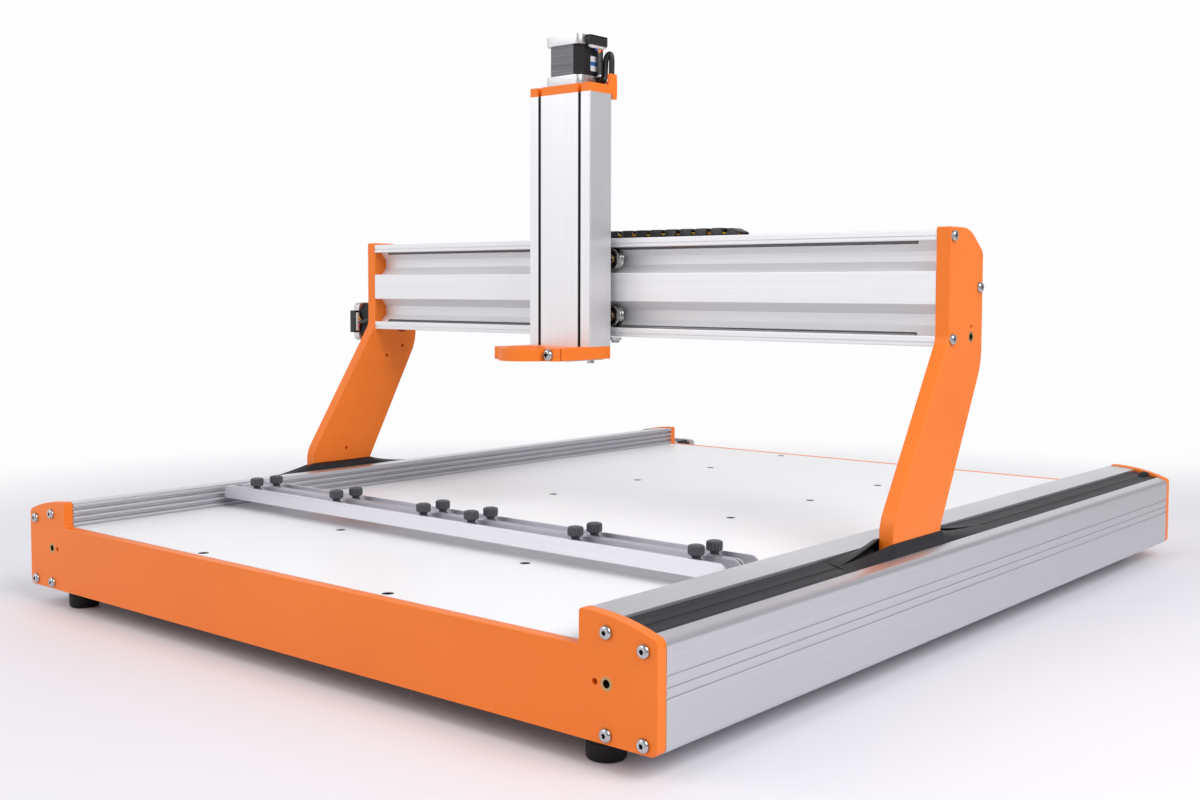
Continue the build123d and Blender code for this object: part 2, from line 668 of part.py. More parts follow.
def roller(diameter, plane):
    """A grooved roller on the plane's origin, its axis along the normal; the groove clears the rod."""
    radius = diameter / 2
    to_rod = ROD_D / 2 + ROD_GAP + radius - GROOVE
    with BuildPart(mode=Mode.PRIVATE) as wheel:
        with BuildSketch(Plane.XZ) as half:
            with Locations((AXLE_D / 2 + RUNNING, 0)):
                Rectangle(radius - AXLE_D / 2 - RUNNING, ROLLER_W, align=(Align.MIN, Align.CENTER))
            chamfer(half.vertices().group_by(Axis.X)[-1], 0.6)
            with Locations((to_rod, 0)):
                Circle(ROD_D / 2 + ROD_GAP, mode=Mode.SUBTRACT)
        revolve(axis=Axis.Z)
    return plane * wheel.part


for level, z in Y_AXLE_ZS.items():
    for end, y in zip(("front", "rear"), Y_AXLE_YS):
        with BuildPart() as roller_pair:
            for side in (-1, 1):
                add(roller(Y_ROLLER_D, Plane(origin=(side * ROD_X, y, z), z_dir=(1, 0, 0))))
        save(roller_pair, f"y_rollers_{end}_{level}")

NUT_BLOCK = (24.0, 22.6)  # along Y and Z

with BuildPart() as y_lead_nuts:
    with BuildSketch(side_view(364.0)):
        with Locations((FOOT_Y, Y_SCREW_Z)):
            RectangleRounded(NUT_BLOCK[0], NUT_BLOCK[1], 2.0)
    extrude(amount=LEG_IN - 364.0)
    with BuildSketch(front_view(FOOT_Y)):
        with Locations((Y_SCREW_X, Y_SCREW_Z)):
            Circle(SCREW_OD / 2 + RUNNING)
    extrude(amount=NUT_BLOCK[0], both=True, mode=Mode.SUBTRACT)
    mirror(about=Plane.YZ)
save(y_lead_nuts, "y_lead_nuts")

with BuildPart() as x_screw_bush:
    with BuildSketch(side_view(LEG_IN)):
        with Locations((X_SCREW_Y, X_SCREW_Z)):
            Circle(BUSH_OD / 2)
            Circle(JOURNAL_D / 2 + RUNNING, mode=Mode.SUBTRACT)
    extrude(amount=LEG_T)
save(x_screw_bush, "x_screw_bush")

x_motor_plane = Plane(origin=(-LEG_OUT, X_SCREW_Y, X_SCREW_Z), x_dir=(0, -1, 0), z_dir=(-1, 0, 0))
x_motor_end_caps = motor_end_caps([x_motor_plane])
save(x_motor_end_caps, "x_motor_end_caps")
x_motor_stator = motor_stators([x_motor_plane])
save(x_motor_stator, "x_motor_stator")

CONNECTOR = (29.0, 6.8, 10.5)  # across, standing off the motor, along its axis
CONNECTOR_INSET = 0.5

with BuildPart() as x_motor_connector:
    with BuildSketch(x_motor_plane.offset(MOTOR_L - CONNECTOR_INSET)):
        with Locations((MOTOR_SIDE / 2, 0)):
            Rectangle(CONNECTOR[1], CONNECTOR[0], align=(Align.MIN, Align.CENTER))
    extrude(amount=-CONNECTOR[2])
    fillet(x_motor_connector.edges().filter_by(Axis.X), 1.5)
save(x_motor_connector, "x_motor_connector")

x_leadscrew = leadscrew(
    Plane(origin=(-LEG_OUT - SHAFT_INTO_MOTOR, X_SCREW_Y, X_SCREW_Z), z_dir=(1, 0, 0)),
    LEG_T + SHAFT_INTO_MOTOR + 2.0,
    LEG_IN + LEG_OUT + SHAFT_INTO_MOTOR - 2.0,
    2 * LEG_OUT + SHAFT_INTO_MOTOR - JOURNAL_RECESS,
    SCREW_OD,
)
save(x_leadscrew, "x_leadscrew")

# ---------------------------------------------------------------- carriage

PLATE_FRONT = GANTRY_Y - 9.0
PLATE_BACK = PLATE_FRONT + PLATE_T
PLATE_HALF_W = 38.5
AXLE_SINK = 2.0  # how far the axles' heads lie in the plate
PLATE_LOW = FOOT_H + 260.0
PLATE_HIGH = FOOT_H + 370.5
X_REACH = ROD_D / 2 + ROD_GAP + X_ROLLER_D / 2 - GROOVE
X_AXLE_XS = {"left": COLUMN_X - 32.7, "right": COLUMN_X + 32.7}
X_AXLE_ZS = {"lower": BEAM_ROD_ZS["lower"] + X_REACH, "upper": BEAM_ROD_ZS["upper"] - X_REACH}
X_AXLES = [(x, z) for x in X_AXLE_XS.values() for z in X_AXLE_ZS.values()]
ROLLER_Y = GANTRY_Y + ROD_IN
Z_NUT = (22.0, 30.0)
Z_NUT_Z = FOOT_H + 315.0
BOLT_D = 5.0
SHOE_X = 40.5  # bolts at the ends of the bracket under the beam, from the column's middle
SHOE_Y = GANTRY_Y + 1.5

with BuildPart() as cross_slide_plate:
    with BuildSketch(front_view(PLATE_FRONT)) as face:
        with Locations((COLUMN_X, (PLATE_LOW + PLATE_HIGH) / 2)):
            Rectangle(2 * PLATE_HALF_W, PLATE_HIGH - PLATE_LOW)
        fillet(face.vertices(), 3.0)
        with Locations((COLUMN_X, Z_NUT_Z)):
            Rectangle(*Z_NUT, mode=Mode.SUBTRACT)
        with Locations(X_AXLES):
            Circle(AXLE_D / 2 + PLAY, mode=Mode.SUBTRACT)
    extrude(amount=-(PLATE_BACK - PLATE_FRONT))
    with BuildSketch(front_view(PLATE_FRONT)):
        with Locations(X_AXLES):
            Circle(5.0 + PLAY)
    extrude(amount=-AXLE_SINK, mode=Mode.SUBTRACT)
save(cross_slide_plate, "cross_slide_plate")

BRACKET_T = 3.0
SHOE_HEAD = (9.0, 2.6)  # diameter and height of the bolt heads under it
CHAIN_BRACKET_W = 14.0
ARM_RIGHT = COLUMN_X - 14.0
ARM_LEFT = COLUMN_X - PLATE_HALF_W
ARM_MID = (ARM_LEFT + ARM_RIGHT) / 2
NUT_BACK = X_SCREW_Y + 14.0
NUT_OD = 14.0

with BuildPart() as x_nut_bracket:
    with BuildSketch(Plane.XY.offset(PLATE_LOW - BRACKET_T)):
        with Locations((COLUMN_X, PLATE_FRONT)):
            Rectangle(2 * SHOE_X + 9.0, 15.5, align=(Align.CENTER, Align.MIN))
        with Locations((ARM_LEFT, PLATE_FRONT)):
            Rectangle(ARM_RIGHT - ARM_LEFT, NUT_BACK - PLATE_FRONT, align=Align.MIN)
        with Locations([(COLUMN_X + s * SHOE_X, SHOE_Y) for s in (-1, 1)]):
            Circle(BOLT_D / 2 + PLAY, mode=Mode.SUBTRACT)
    extrude(amount=BRACKET_T)
    with BuildSketch(side_view(ARM_LEFT)):
        with Locations((X_SCREW_Y, PLATE_LOW)):
            Rectangle(28.0, 24.0, align=(Align.CENTER, Align.MIN))
        with Locations((X_SCREW_Y, X_SCREW_Z)):
            Circle(NUT_OD / 2, mode=Mode.SUBTRACT)
    extrude(amount=ARM_RIGHT - ARM_LEFT)
save(x_nut_bracket, "x_nut_bracket")

with BuildPart() as carriage_lead_nuts:
    with BuildSketch(side_view(ARM_LEFT)):
        with Locations((X_SCREW_Y, X_SCREW_Z)):
            Circle(NUT_OD / 2)
            Circle(SCREW_OD / 2 + RUNNING, mode=Mode.SUBTRACT)
    extrude(amount=ARM_RIGHT - ARM_LEFT + 4.0)
    with BuildSketch(Plane.XY.offset(Z_NUT_Z - Z_NUT[1] / 2)):
        with Locations((COLUMN_X, Z_SCREW_Y - 9.0)):
            Rectangle(Z_NUT[0], PLATE_BACK - Z_SCREW_Y + 9.0, align=(Align.CENTER, Align.MIN))
        with Locations((COLUMN_X, Z_SCREW_Y)):
            Circle(Z_SCREW_OD / 2 + RUNNING, mode=Mode.SUBTRACT)
    extrude(amount=Z_NUT[1])
save(carriage_lead_nuts, "carriage_lead_nuts")

# Steps of a roller's axle as (diameter, from, to) along Y
X_AXLE_STEPS = [
    (10.0, PLATE_FRONT, PLATE_FRONT + AXLE_SINK),
    (AXLE_D, PLATE_FRONT + AXLE_SINK, PLATE_BACK),
    (COLLAR_OD, PLATE_BACK, ROLLER_Y - ROLLER_W / 2 - END_PLAY),
    (AXLE_D, ROLLER_Y - ROLLER_W / 2 - END_PLAY, ROLLER_Y + ROLLER_W / 2 + END_PLAY),
    (COLLAR_OD, ROLLER_Y + ROLLER_W / 2 + END_PLAY, ROLLER_Y + ROLLER_W / 2 + END_PLAY + 1.8),
]

with BuildPart() as carriage_bolts:
    for diameter, y_from, y_to in X_AXLE_STEPS:
        with BuildSketch(front_view(y_from)):
            with Locations(X_AXLES):
                Circle(diameter / 2)
        extrude(amount=-(y_to - y_from))
    for diameter, height in ((SHOE_HEAD[0], -SHOE_HEAD[1]), (BOLT_D, BRACKET_T)):
        with BuildSketch(Plane.XY.offset(PLATE_LOW - BRACKET_T)):
            with Locations([(COLUMN_X + s * SHOE_X, SHOE_Y) for s in (-1, 1)]):
                Circle(diameter / 2)
        extrude(amount=height)
save(carriage_bolts, "carriage_bolts")

for side, x in X_AXLE_XS.items():
    for level, z in X_AXLE_ZS.items():
        with BuildPart() as x_roller:
            add(roller(X_ROLLER_D, Plane(origin=(x, ROLLER_Y, z), z_dir=(0, 1, 0))))
        save(x_roller, f"x_roller_{side}_{level}")

# ---------------------------------------------------------------- cable chain

CHAIN_LOW_Z = SHELF_Z + 0.5 + CHAIN_H / 2
CHAIN_HIGH_Z = CHAIN_LOW_Z + 2 * CHAIN_R
CHAIN_START_X = COLUMN_X - 20.0
CHAIN_GAP = 0.3

with BuildPart() as chain_bracket:
    with BuildSketch(Plane.XY.offset(PLATE_HIGH)):
        with Locations((ARM_LEFT, PLATE_FRONT)):
            Rectangle(CHAIN_BRACKET_W, CHAIN_Y + CHAIN_W / 2 - PLATE_FRONT, align=Align.MIN)
    extrude(amount=3.0)
    with BuildSketch(side_view(ARM_LEFT + CHAIN_BRACKET_W)):
        with Locations((CHAIN_Y, CHAIN_HIGH_Z)):
            Rectangle(CHAIN_W, CHAIN_H)
    extrude(amount=CHAIN_START_X - ARM_LEFT - CHAIN_BRACKET_W)
save(chain_bracket, "chain_bracket")


def chain_run(x_from, x_to, z):
    """A straight stretch of the chain, as its outer shape."""
    with BuildPart() as run:
        with BuildSketch(side_view(x_from)):
            with Locations((CHAIN_Y, z)):
                Rectangle(CHAIN_W, CHAIN_H)
        extrude(amount=x_to - x_from)
    return run


chain_upper_run = chain_run(CHAIN_START_X, CHAIN_BEND_X - CHAIN_GAP, CHAIN_HIGH_Z)
save(chain_upper_run, "chain_upper_run")
chain_lower_run = chain_run(CHAIN_FIXED_X, CHAIN_BEND_X - CHAIN_GAP, CHAIN_LOW_Z)
save(chain_lower_run, "chain_lower_run")

bend_z = (CHAIN_LOW_Z + CHAIN_HIGH_Z) / 2
for name, way in (("upper", 1), ("lower", -1)):
    with BuildPart() as chain_loop:
        with BuildSketch(front_view(CHAIN_Y - CHAIN_W / 2)):
            with Locations((CHAIN_BEND_X, bend_z)):
                Circle(CHAIN_R + CHAIN_H / 2)
                Circle(CHAIN_R - CHAIN_H / 2, mode=Mode.SUBTRACT)
            with Locations((CHAIN_BEND_X, bend_z + way * CHAIN_GAP / 2)):
                quarter = (Align.MIN, Align.MIN if way > 0 else Align.MAX)
                Rectangle(2 * CHAIN_R, 2 * CHAIN_R, align=quarter, mode=Mode.INTERSECT)
        extrude(amount=-CHAIN_W)
    save(chain_loop, f"chain_loop_{name}")

# ---------------------------------------------------------------- tool column

COLUMN_ROD_X = 34.0  # guide rods, from the column's middle
COLUMN_ROD_Y = COLUMN_BACK - 7.5
FRONT_WALL = 10.0
T_SLOT_X = 29.0
COLUMN_RODS = [(COLUMN_X + s * COLUMN_ROD_X, COLUMN_ROD_Y) for s in (-1, 1)]

with BuildPart() as z_profile:
    with BuildSketch(Plane.XY.offset(COLUMN_LOW)) as section:
        with Locations((COLUMN_X, COLUMN_FRONT)):
            Rectangle(COLUMN_W, COLUMN_BACK - COLUMN_FRONT, align=(Align.CENTER, Align.MIN))
        fillet(section.vertices(), 1.0)
        with Locations((COLUMN_X, COLUMN_FRONT + FRONT_WALL)):
            Rectangle(2 * COLUMN_ROD_X, 40.0, align=(Align.CENTER, Align.MIN), mode=Mode.SUBTRACT)
        for side in (-1, 1):
            with Locations((COLUMN_X + side * T_SLOT_X, COLUMN_FRONT)):
                Rectangle(4.0, 8.0, align=(Align.CENTER, Align.MIN), mode=Mode.SUBTRACT)
            with Locations((COLUMN_X + side * T_SLOT_X, COLUMN_FRONT + 3.2)):
                Rectangle(8.0, 3.6, align=(Align.CENTER, Align.MIN), mode=Mode.SUBTRACT)
        with Locations(COLUMN_RODS):
            Circle(ROD_D / 2, mode=Mode.SUBTRACT)
    extrude(amount=COLUMN_HIGH - COLUMN_LOW)
save(z_profile, "z_profile")

with BuildPart() as z_guide_rods:
    with BuildSketch(Plane.XY.offset(COLUMN_LOW)):
        with Locations(COLUMN_RODS):
            Circle(ROD_D / 2)
    extrude(amount=COLUMN_HIGH - COLUMN_LOW)
save(z_guide_rods, "z_guide_rods")

GLIDE_IN = 22.0
GLIDE_OUT = COLUMN_ROD_X - 0.4
GLIDE_L = 86.0
GLIDE_FRONT = PLATE_FRONT - 15.0

with BuildPart() as z_glide_blocks:
    with BuildSketch(Plane.XY.offset(Z_NUT_Z - GLIDE_L / 2)):
        for side in (-1, 1):
            with Locations((COLUMN_X + side * (GLIDE_IN + GLIDE_OUT) / 2, GLIDE_FRONT)):
                Rectangle(GLIDE_OUT - GLIDE_IN, PLATE_FRONT - GLIDE_FRONT, align=(Align.CENTER, Align.MIN))
        with Locations(COLUMN_RODS):
            Circle(ROD_D / 2 + ROD_GAP, mode=Mode.SUBTRACT)
    extrude(amount=GLIDE_L)
save(z_glide_blocks, "z_glide_blocks")

TOP_PLATE_Z = COLUMN_HIGH + TOP_PLATE_T
TOP_PLATE_BACK = COLUMN_BACK + 9.0
TAB_T = 3.0
TAB_FRONT = COLUMN_BACK - 3.5
TAB_HIGH = TOP_PLATE_Z + 12.5
COLUMN_RIGHT = COLUMN_X + COLUMN_W / 2
BOSS = (8.5, 9.0)  # seat of the motor's cable, across and back, behind the tab
BOSS_BACK = TOP_PLATE_BACK + 4.0
BOSS_HIGH = TOP_PLATE_Z + 6.0

with BuildPart() as z_top_plate:
    with BuildSketch(Plane.XY.offset(COLUMN_HIGH)) as plate:
        with Locations((COLUMN_X, COLUMN_FRONT)):
            Rectangle(COLUMN_W, TOP_PLATE_BACK - COLUMN_FRONT, align=(Align.CENTER, Align.MIN))
        fillet(plate.vertices(), 1.5)
        with Locations([(COLUMN_X + s * T_SLOT_X, COLUMN_FRONT) for s in (-1, 1)]):
            Rectangle(6.0, 4.0, align=(Align.CENTER, Align.MIN), mode=Mode.SUBTRACT)
        with Locations((COLUMN_X, Z_SCREW_Y)):
            Circle(6.0, mode=Mode.SUBTRACT)
    extrude(amount=TOP_PLATE_T)
    # Upright tab beside the motor's cable, and behind it the boss that the cable enters
    with BuildSketch(side_view(COLUMN_RIGHT - TAB_T)) as tab:
        with Locations((TAB_FRONT, COLUMN_HIGH)):
            Rectangle(TOP_PLATE_BACK - TAB_FRONT, TAB_HIGH - COLUMN_HIGH, align=Align.MIN)
        with Locations((COLUMN_BACK + 1.5, COLUMN_HIGH)):
            Rectangle(TOP_PLATE_BACK - COLUMN_BACK - 1.5, 5.0, align=(Align.MIN, Align.MAX))
        fillet(tab.vertices().group_by(Axis.Y)[-1], 1.2)
        fillet(tab.vertices().group_by(Axis.Y)[0], 1.2)
    extrude(amount=TAB_T)
    with BuildSketch(Plane.XY.offset(COLUMN_HIGH)):
        with Locations((COLUMN_RIGHT - TAB_T, BOSS_BACK)):
            Rectangle(*BOSS, align=Align.MAX)
    extrude(amount=BOSS_HIGH - COLUMN_HIGH)
save(z_top_plate, "z_top_plate")

CLAMP_LOW = COLUMN_LOW - CLAMP_T
CLAMP_FRONT = TOOL_Y - 4.2  # front faces of the two lugs beside the ring
SLIT_FRONT = TOOL_Y + 5.8
SLIT_W = 1.5
CLAMP_SCREW_X = COLUMN_X + 36.0
CLAMP_MID_Z = CLAMP_LOW + CLAMP_T / 2
CLAMP_HEAD = (12.2, 4.5)  # diameter and height
COVER_BOLT_D = 5.0
COVER_HEAD = (8.4, 4.0)
COVER_T = 1.5
COVER_BOLTS = [(COLUMN_X + s * 24.0, COLUMN_BACK - 11.0) for s in (-1, 1)]

with BuildPart() as tool_clamp:
    with BuildSketch(Plane.XY.offset(CLAMP_LOW)) as outline:
        with Locations((COLUMN_X, CLAMP_FRONT)):
            Rectangle(COLUMN_W, COLUMN_BACK - CLAMP_FRONT, align=(Align.CENTER, Align.MIN))
        fillet(outline.vertices(), 1.5)
        with Locations((COLUMN_X, TOOL_Y)):
            Circle(CLAMP_RING_R)
            Circle(TOOL_R, mode=Mode.SUBTRACT)
        with Locations((COLUMN_X, SLIT_FRONT)):
            Rectangle(COLUMN_W, SLIT_W, align=Align.MIN, mode=Mode.SUBTRACT)
        with Locations(COVER_BOLTS):
            Circle(COVER_BOLT_D / 2, mode=Mode.SUBTRACT)
    extrude(amount=CLAMP_T)
    with BuildSketch(front_view(CLAMP_FRONT - 1)):
        with Locations((CLAMP_SCREW_X, CLAMP_MID_Z)):
            Circle(SCREW_D / 2)
    extrude(amount=-40.0, mode=Mode.SUBTRACT)
save(tool_clamp, "tool_clamp")

with BuildPart() as clamp_cover_plate:
    with BuildSketch(Plane.XY.offset(CLAMP_LOW - COVER_T)):
        with Locations((COLUMN_X, COLUMN_BACK - 3.0)):
            Rectangle(72.0, 61.0, align=(Align.CENTER, Align.MAX))
        with Locations(COVER_BOLTS):
            Circle(COVER_BOLT_D / 2, mode=Mode.SUBTRACT)
    extrude(amount=COVER_T)
save(clamp_cover_plate, "clamp_cover_plate")

with BuildPart() as tool_clamp_screws:
    with BuildSketch(front_view(CLAMP_FRONT)):
        with Locations((CLAMP_SCREW_X, CLAMP_MID_Z)):
            Circle(CLAMP_HEAD[0] / 2)
    extrude(amount=CLAMP_HEAD[1])
    fillet(tool_clamp_screws.edges().group_by(Axis.Y)[0], 1.8)
    with BuildSketch(front_view(CLAMP_FRONT)):
        with Locations((CLAMP_SCREW_X, CLAMP_MID_Z)):
            Circle(SCREW_D / 2 - PLAY)
    extrude(amount=-34.0)
    with BuildSketch(Plane.XY.offset(CLAMP_LOW - COVER_T)):
        with Locations(COVER_BOLTS):
            Circle(COVER_HEAD[0] / 2)
    extrude(amount=-COVER_HEAD[1])
    with BuildSketch(Plane.XY.offset(CLAMP_LOW - COVER_T)):
        with Locations(COVER_BOLTS):
            Circle(COVER_BOLT_D / 2 - PLAY)
    extrude(amount=12.0)
save(tool_clamp_screws, "tool_clamp_screws")

z_motor_plane = Plane(origin=(COLUMN_X, Z_SCREW_Y, TOP_PLATE_Z), x_dir=(1, 0, 0), z_dir=(0, 0, 1))
z_motor_end_caps = motor_end_caps([z_motor_plane])
save(z_motor_end_caps, "z_motor_end_caps")
z_motor_stator = motor_stators([z_motor_plane])
save(z_motor_stator, "z_motor_stator")

with BuildPart() as z_motor_connector:
    with BuildSketch(z_motor_plane.offset(MOTOR_L - CONNECTOR_INSET)):
        with Locations((MOTOR_SIDE / 2, 0)):
            Rectangle(CONNECTOR[1], CONNECTOR[0], align=(Align.MIN, Align.CENTER))
    extrude(amount=-CONNECTOR[2])
    fillet(z_motor_connector.edges().filter_by(Axis.Z), 1.5)
save(z_motor_connector, "z_motor_connector")

z_leadscrew = leadscrew(
    Plane(origin=(COLUMN_X, Z_SCREW_Y, COLUMN_LOW + 5.0), z_dir=(0, 0, 1)),
    0.0,
    COLUMN_HIGH - COLUMN_LOW - 6.0,
    COLUMN_HIGH - COLUMN_LOW - 5.0 + TOP_PLATE_T + SHAFT_INTO_MOTOR,
    Z_SCREW_OD,
)
save(z_leadscrew, "z_leadscrew")

# The motor's cable hangs from the connector down to the top plate, turns up again behind that stretch, and
# comes down beside the tab into the boss.
CABLE_D = 5.0
cable_x = COLUMN_X + MOTOR_SIDE / 2 + 3.4
cable_y = Z_SCREW_Y + 3.8
seat_x = COLUMN_RIGHT - TAB_T - BOSS[0] / 2
seat_y = BOSS_BACK - BOSS[1] / 2
CABLE_ROUTE = [
    (cable_x, cable_y, TOP_PLATE_Z + MOTOR_L - CONNECTOR[2] - CONNECTOR_INSET),
    (cable_x, cable_y, TOP_PLATE_Z + 22.0),
    (cable_x + 0.2, cable_y + 0.6, TOP_PLATE_Z + 9.0),
    (cable_x + 0.5, cable_y + 5.0, TOP_PLATE_Z + 3.6),
    (cable_x + 0.8, cable_y + 9.4, TOP_PLATE_Z + 9.0),
    (cable_x + 1.0, cable_y + 9.8, TOP_PLATE_Z + 22.0),
    (cable_x + 2.6, cable_y + 9.2, TOP_PLATE_Z + 33.0),
    (cable_x + 7.4, cable_y + 11.0, TOP_PLATE_Z + 36.5),
    (seat_x + 0.8, seat_y - 0.4, TOP_PLATE_Z + 29.0),
    (seat_x, seat_y, TOP_PLATE_Z + 18.0),
    (seat_x + 0.1, seat_y, BOSS_HIGH),
]


def bend_radii(route):
    """The largest radius that each corner of a route has room for."""
    radii = []
    for before, corner, after in zip(route, route[1:], route[2:]):
        into = Vector(*corner) - Vector(*before)
        out = Vector(*after) - Vector(*corner)
        half_turn = radians(into.get_angle(out) / 2)
        radii.append(0.45 * min(into.length, out.length) / tan(half_turn))
    return radii


cable_radii = bend_radii(CABLE_ROUTE)

with BuildPart() as z_motor_cable:
    with BuildLine() as route:
        FilletPolyline(*CABLE_ROUTE, radius=cable_radii)
    with BuildSketch(Plane(origin=CABLE_ROUTE[0], z_dir=route.line % 0)):
        Circle(CABLE_D / 2)
    sweep(path=route.line)
save(z_motor_cable, "z_motor_cable")
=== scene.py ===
"""The looks of a bench-top gantry CNC router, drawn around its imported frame."""
from math import cos, pi, radians, sin, tau

import bmesh
import bpy
from mathutils import Matrix, Vector


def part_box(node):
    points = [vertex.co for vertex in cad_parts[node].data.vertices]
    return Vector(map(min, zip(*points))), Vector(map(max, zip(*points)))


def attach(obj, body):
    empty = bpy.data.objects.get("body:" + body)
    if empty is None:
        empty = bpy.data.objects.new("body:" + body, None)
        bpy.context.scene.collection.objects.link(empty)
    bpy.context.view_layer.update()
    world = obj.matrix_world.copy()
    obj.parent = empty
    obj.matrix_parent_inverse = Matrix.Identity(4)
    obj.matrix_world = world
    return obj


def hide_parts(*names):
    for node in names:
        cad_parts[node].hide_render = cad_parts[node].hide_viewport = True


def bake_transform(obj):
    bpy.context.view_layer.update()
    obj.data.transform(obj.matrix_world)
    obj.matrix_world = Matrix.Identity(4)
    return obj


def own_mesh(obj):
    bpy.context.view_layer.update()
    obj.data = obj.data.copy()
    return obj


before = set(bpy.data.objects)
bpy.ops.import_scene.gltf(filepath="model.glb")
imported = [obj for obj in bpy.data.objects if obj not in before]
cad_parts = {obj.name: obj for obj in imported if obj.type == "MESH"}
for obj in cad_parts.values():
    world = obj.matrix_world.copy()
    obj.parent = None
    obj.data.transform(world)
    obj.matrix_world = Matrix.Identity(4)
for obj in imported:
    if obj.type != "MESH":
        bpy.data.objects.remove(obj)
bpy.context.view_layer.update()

MM = 0.001
scene = bpy.context.scene
for leftover in ("Cube", "Camera", "Light"):
    if leftover in bpy.data.objects:
        bpy.data.objects.remove(bpy.data.objects[leftover])


# ---------------- drawing meshes

class Form:
    """A mesh being drawn. Each call adds one closed shape, placed by the matrix `at`."""

    def __init__(self):
        self.mesh = bmesh.new()
        self.at = Matrix()
        self.slot = 0

    def loft(self, rings):
        """Skins a row of rings of points and closes its two ends."""
        rows = [[self.mesh.verts.new(self.at @ Vector(point)) for point in ring] for ring in rings]
        faces = []
        count = len(rows[0])
        for row, after in zip(rows, rows[1:]):
            for k in range(count):
                beside = (k + 1) % count
                faces.append(self.mesh.faces.new((row[k], row[beside], after[beside], after[k])))
        faces.append(self.mesh.faces.new(rows[0][::-1]))
        faces.append(self.mesh.faces.new(rows[-1]))
        for face in faces:
            face.material_index = self.slot
        return faces

    def lathe(self, profile, segments=48):
        """Turns (radius, height) points, or (radius, height, lobes, share) for a fluted ring."""
        rings = []
        for radius, height, *flutes in profile:
            lobes, share = flutes or (0, 0.0)
            ring = []
            for k in range(segments):
                angle = tau * k / segments
                reach = radius * (1 + share * cos(lobes * angle))
                ring.append((reach * cos(angle), reach * sin(angle), height))
            rings.append(ring)
        return self.loft(rings)

    def prism(self, outline, low, high, bevel=0.0, segments=2):
        """A plate with that outline in XY, its rims rounded by the bevel."""
        faces = self.loft([[(x, y, z) for x, y in outline] for z in (low, high)])
        if bevel:
            self.soften(faces[-2:], bevel, segments)

    def box(self, low, high, bevel=0.0):
        """A block between two corners, with all its edges rounded by the bevel."""
        (x0, y0, z0), (x1, y1, z1) = low, high
        faces = self.loft([[(x0, y0, z), (x1, y0, z), (x1, y1, z), (x0, y1, z)] for z in (z0, z1)])
        if bevel:
            self.soften(faces, bevel, 2)

    def soften(self, faces, bevel, segments):
        """Rounds the edges of some faces."""
        edges = list(dict.fromkeys(edge for face in faces for edge in face.edges))
        bmesh.ops.bevel(self.mesh, geom=edges, offset=bevel, segments=segments, profile=0.5,
                        affect="EDGES", material=self.slot)

    def tube(self, line, radius, segments=12, texture=None):
        """A round tube along a line of points; texture(step, angle) adds to its radius."""
        rings = []
        side = None
        for k, point in enumerate(line):
            way = (line[min(k + 1, len(line) - 1)] - line[max(k - 1, 0)]).normalized()
            if side is None:
                side = way.orthogonal().normalized()
            side = (side - way * side.dot(way)).normalized()
            up = way.cross(side)
            ring = []
            for s in range(segments):
                angle = tau * s / segments
                reach = radius + (texture(k, angle) if texture else 0.0)
                ring.append(point + side * (reach * cos(angle)) + up * (reach * sin(angle)))
            rings.append(ring)
        return self.loft(rings)

    def done(self, name, materials, body=None, stands_for=(), sharp=32):
        """Turns the drawing into a piece of the object, riding on its body."""
        bmesh.ops.recalc_face_normals(self.mesh, faces=self.mesh.faces)
        data = bpy.data.meshes.new(name)
        self.mesh.to_mesh(data)
        self.mesh.free()
        for material in materials:
            data.materials.append(material)
        data.shade_smooth()
        data.set_sharp_from_angle(angle=radians(sharp))
        piece = bpy.data.objects.new(name, data)
        scene.collection.objects.link(piece)
        if body:
            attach(piece, body)
        if stands_for:
            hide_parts(*stands_for)
        return piece


def millimetres(*points):
    """A lathe's profile given in millimetres. What follows a point's radius and height stays as it is."""
    return [(radius * MM, height * MM, *flutes) for radius, height, *flutes in points]


def solids(node):
    """The lowest and highest corner of each separate solid of a CAD node."""
    mesh = bmesh.new()
    mesh.from_mesh(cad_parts[node].data)
    bmesh.ops.remove_doubles(mesh, verts=mesh.verts, dist=1e-6)
    waiting = set(mesh.verts)
    found = []
    while waiting:
        front = [waiting.pop()]
        reached = []
        while front:
            vert = front.pop()
            reached.append(vert.co.copy())
            for edge in vert.link_edges:
                other = edge.other_vert(vert)
                if other in waiting:
                    waiting.remove(other)
                    front.append(other)
        low = Vector([min(co[i] for co in reached) for i in range(3)])
        high = Vector([max(co[i] for co in reached) for i in range(3)])
        found.append((low, high))
    mesh.free()
    return sorted(found, key=lambda corners: [round(value, 5) for value in corners[0]])


def facing(origin, out, across=None):
    """A matrix whose +Z points out of a face at the origin, with +X across."""
    z = Vector(out).normalized()
    x = Vector(across).normalized() if across else z.orthogonal().normalized()
    y = z.cross(x)
    return Matrix.Translation(Vector(origin)) @ Matrix((x, y, z)).transposed().to_4x4()


def centre_line(points):
    """A smooth NURBS line through the neighbourhood of those points, read as vectors."""
    curve = bpy.data.curves.new("route", "CURVE")
    curve.dimensions = "3D"
    curve.resolution_u = 16
    spline = curve.splines.new("NURBS")
    spline.points.add(len(points) - 1)
    for control, point in zip(spline.points, points):
        control.co = (*point, 1.0)
    spline.order_u = 3
    spline.use_endpoint_u = True
    carrier = bpy.data.objects.new("route", curve)
    scene.collection.objects.link(carrier)
    bpy.context.view_layer.update()
    line = bpy.data.meshes.new_from_object(carrier.evaluated_get(bpy.context.evaluated_depsgraph_get()))
    found = [vert.co.copy() for vert in line.vertices]
    bpy.data.objects.remove(carrier)
    bpy.data.meshes.remove(line)
    bpy.data.curves.remove(curve)
    return found


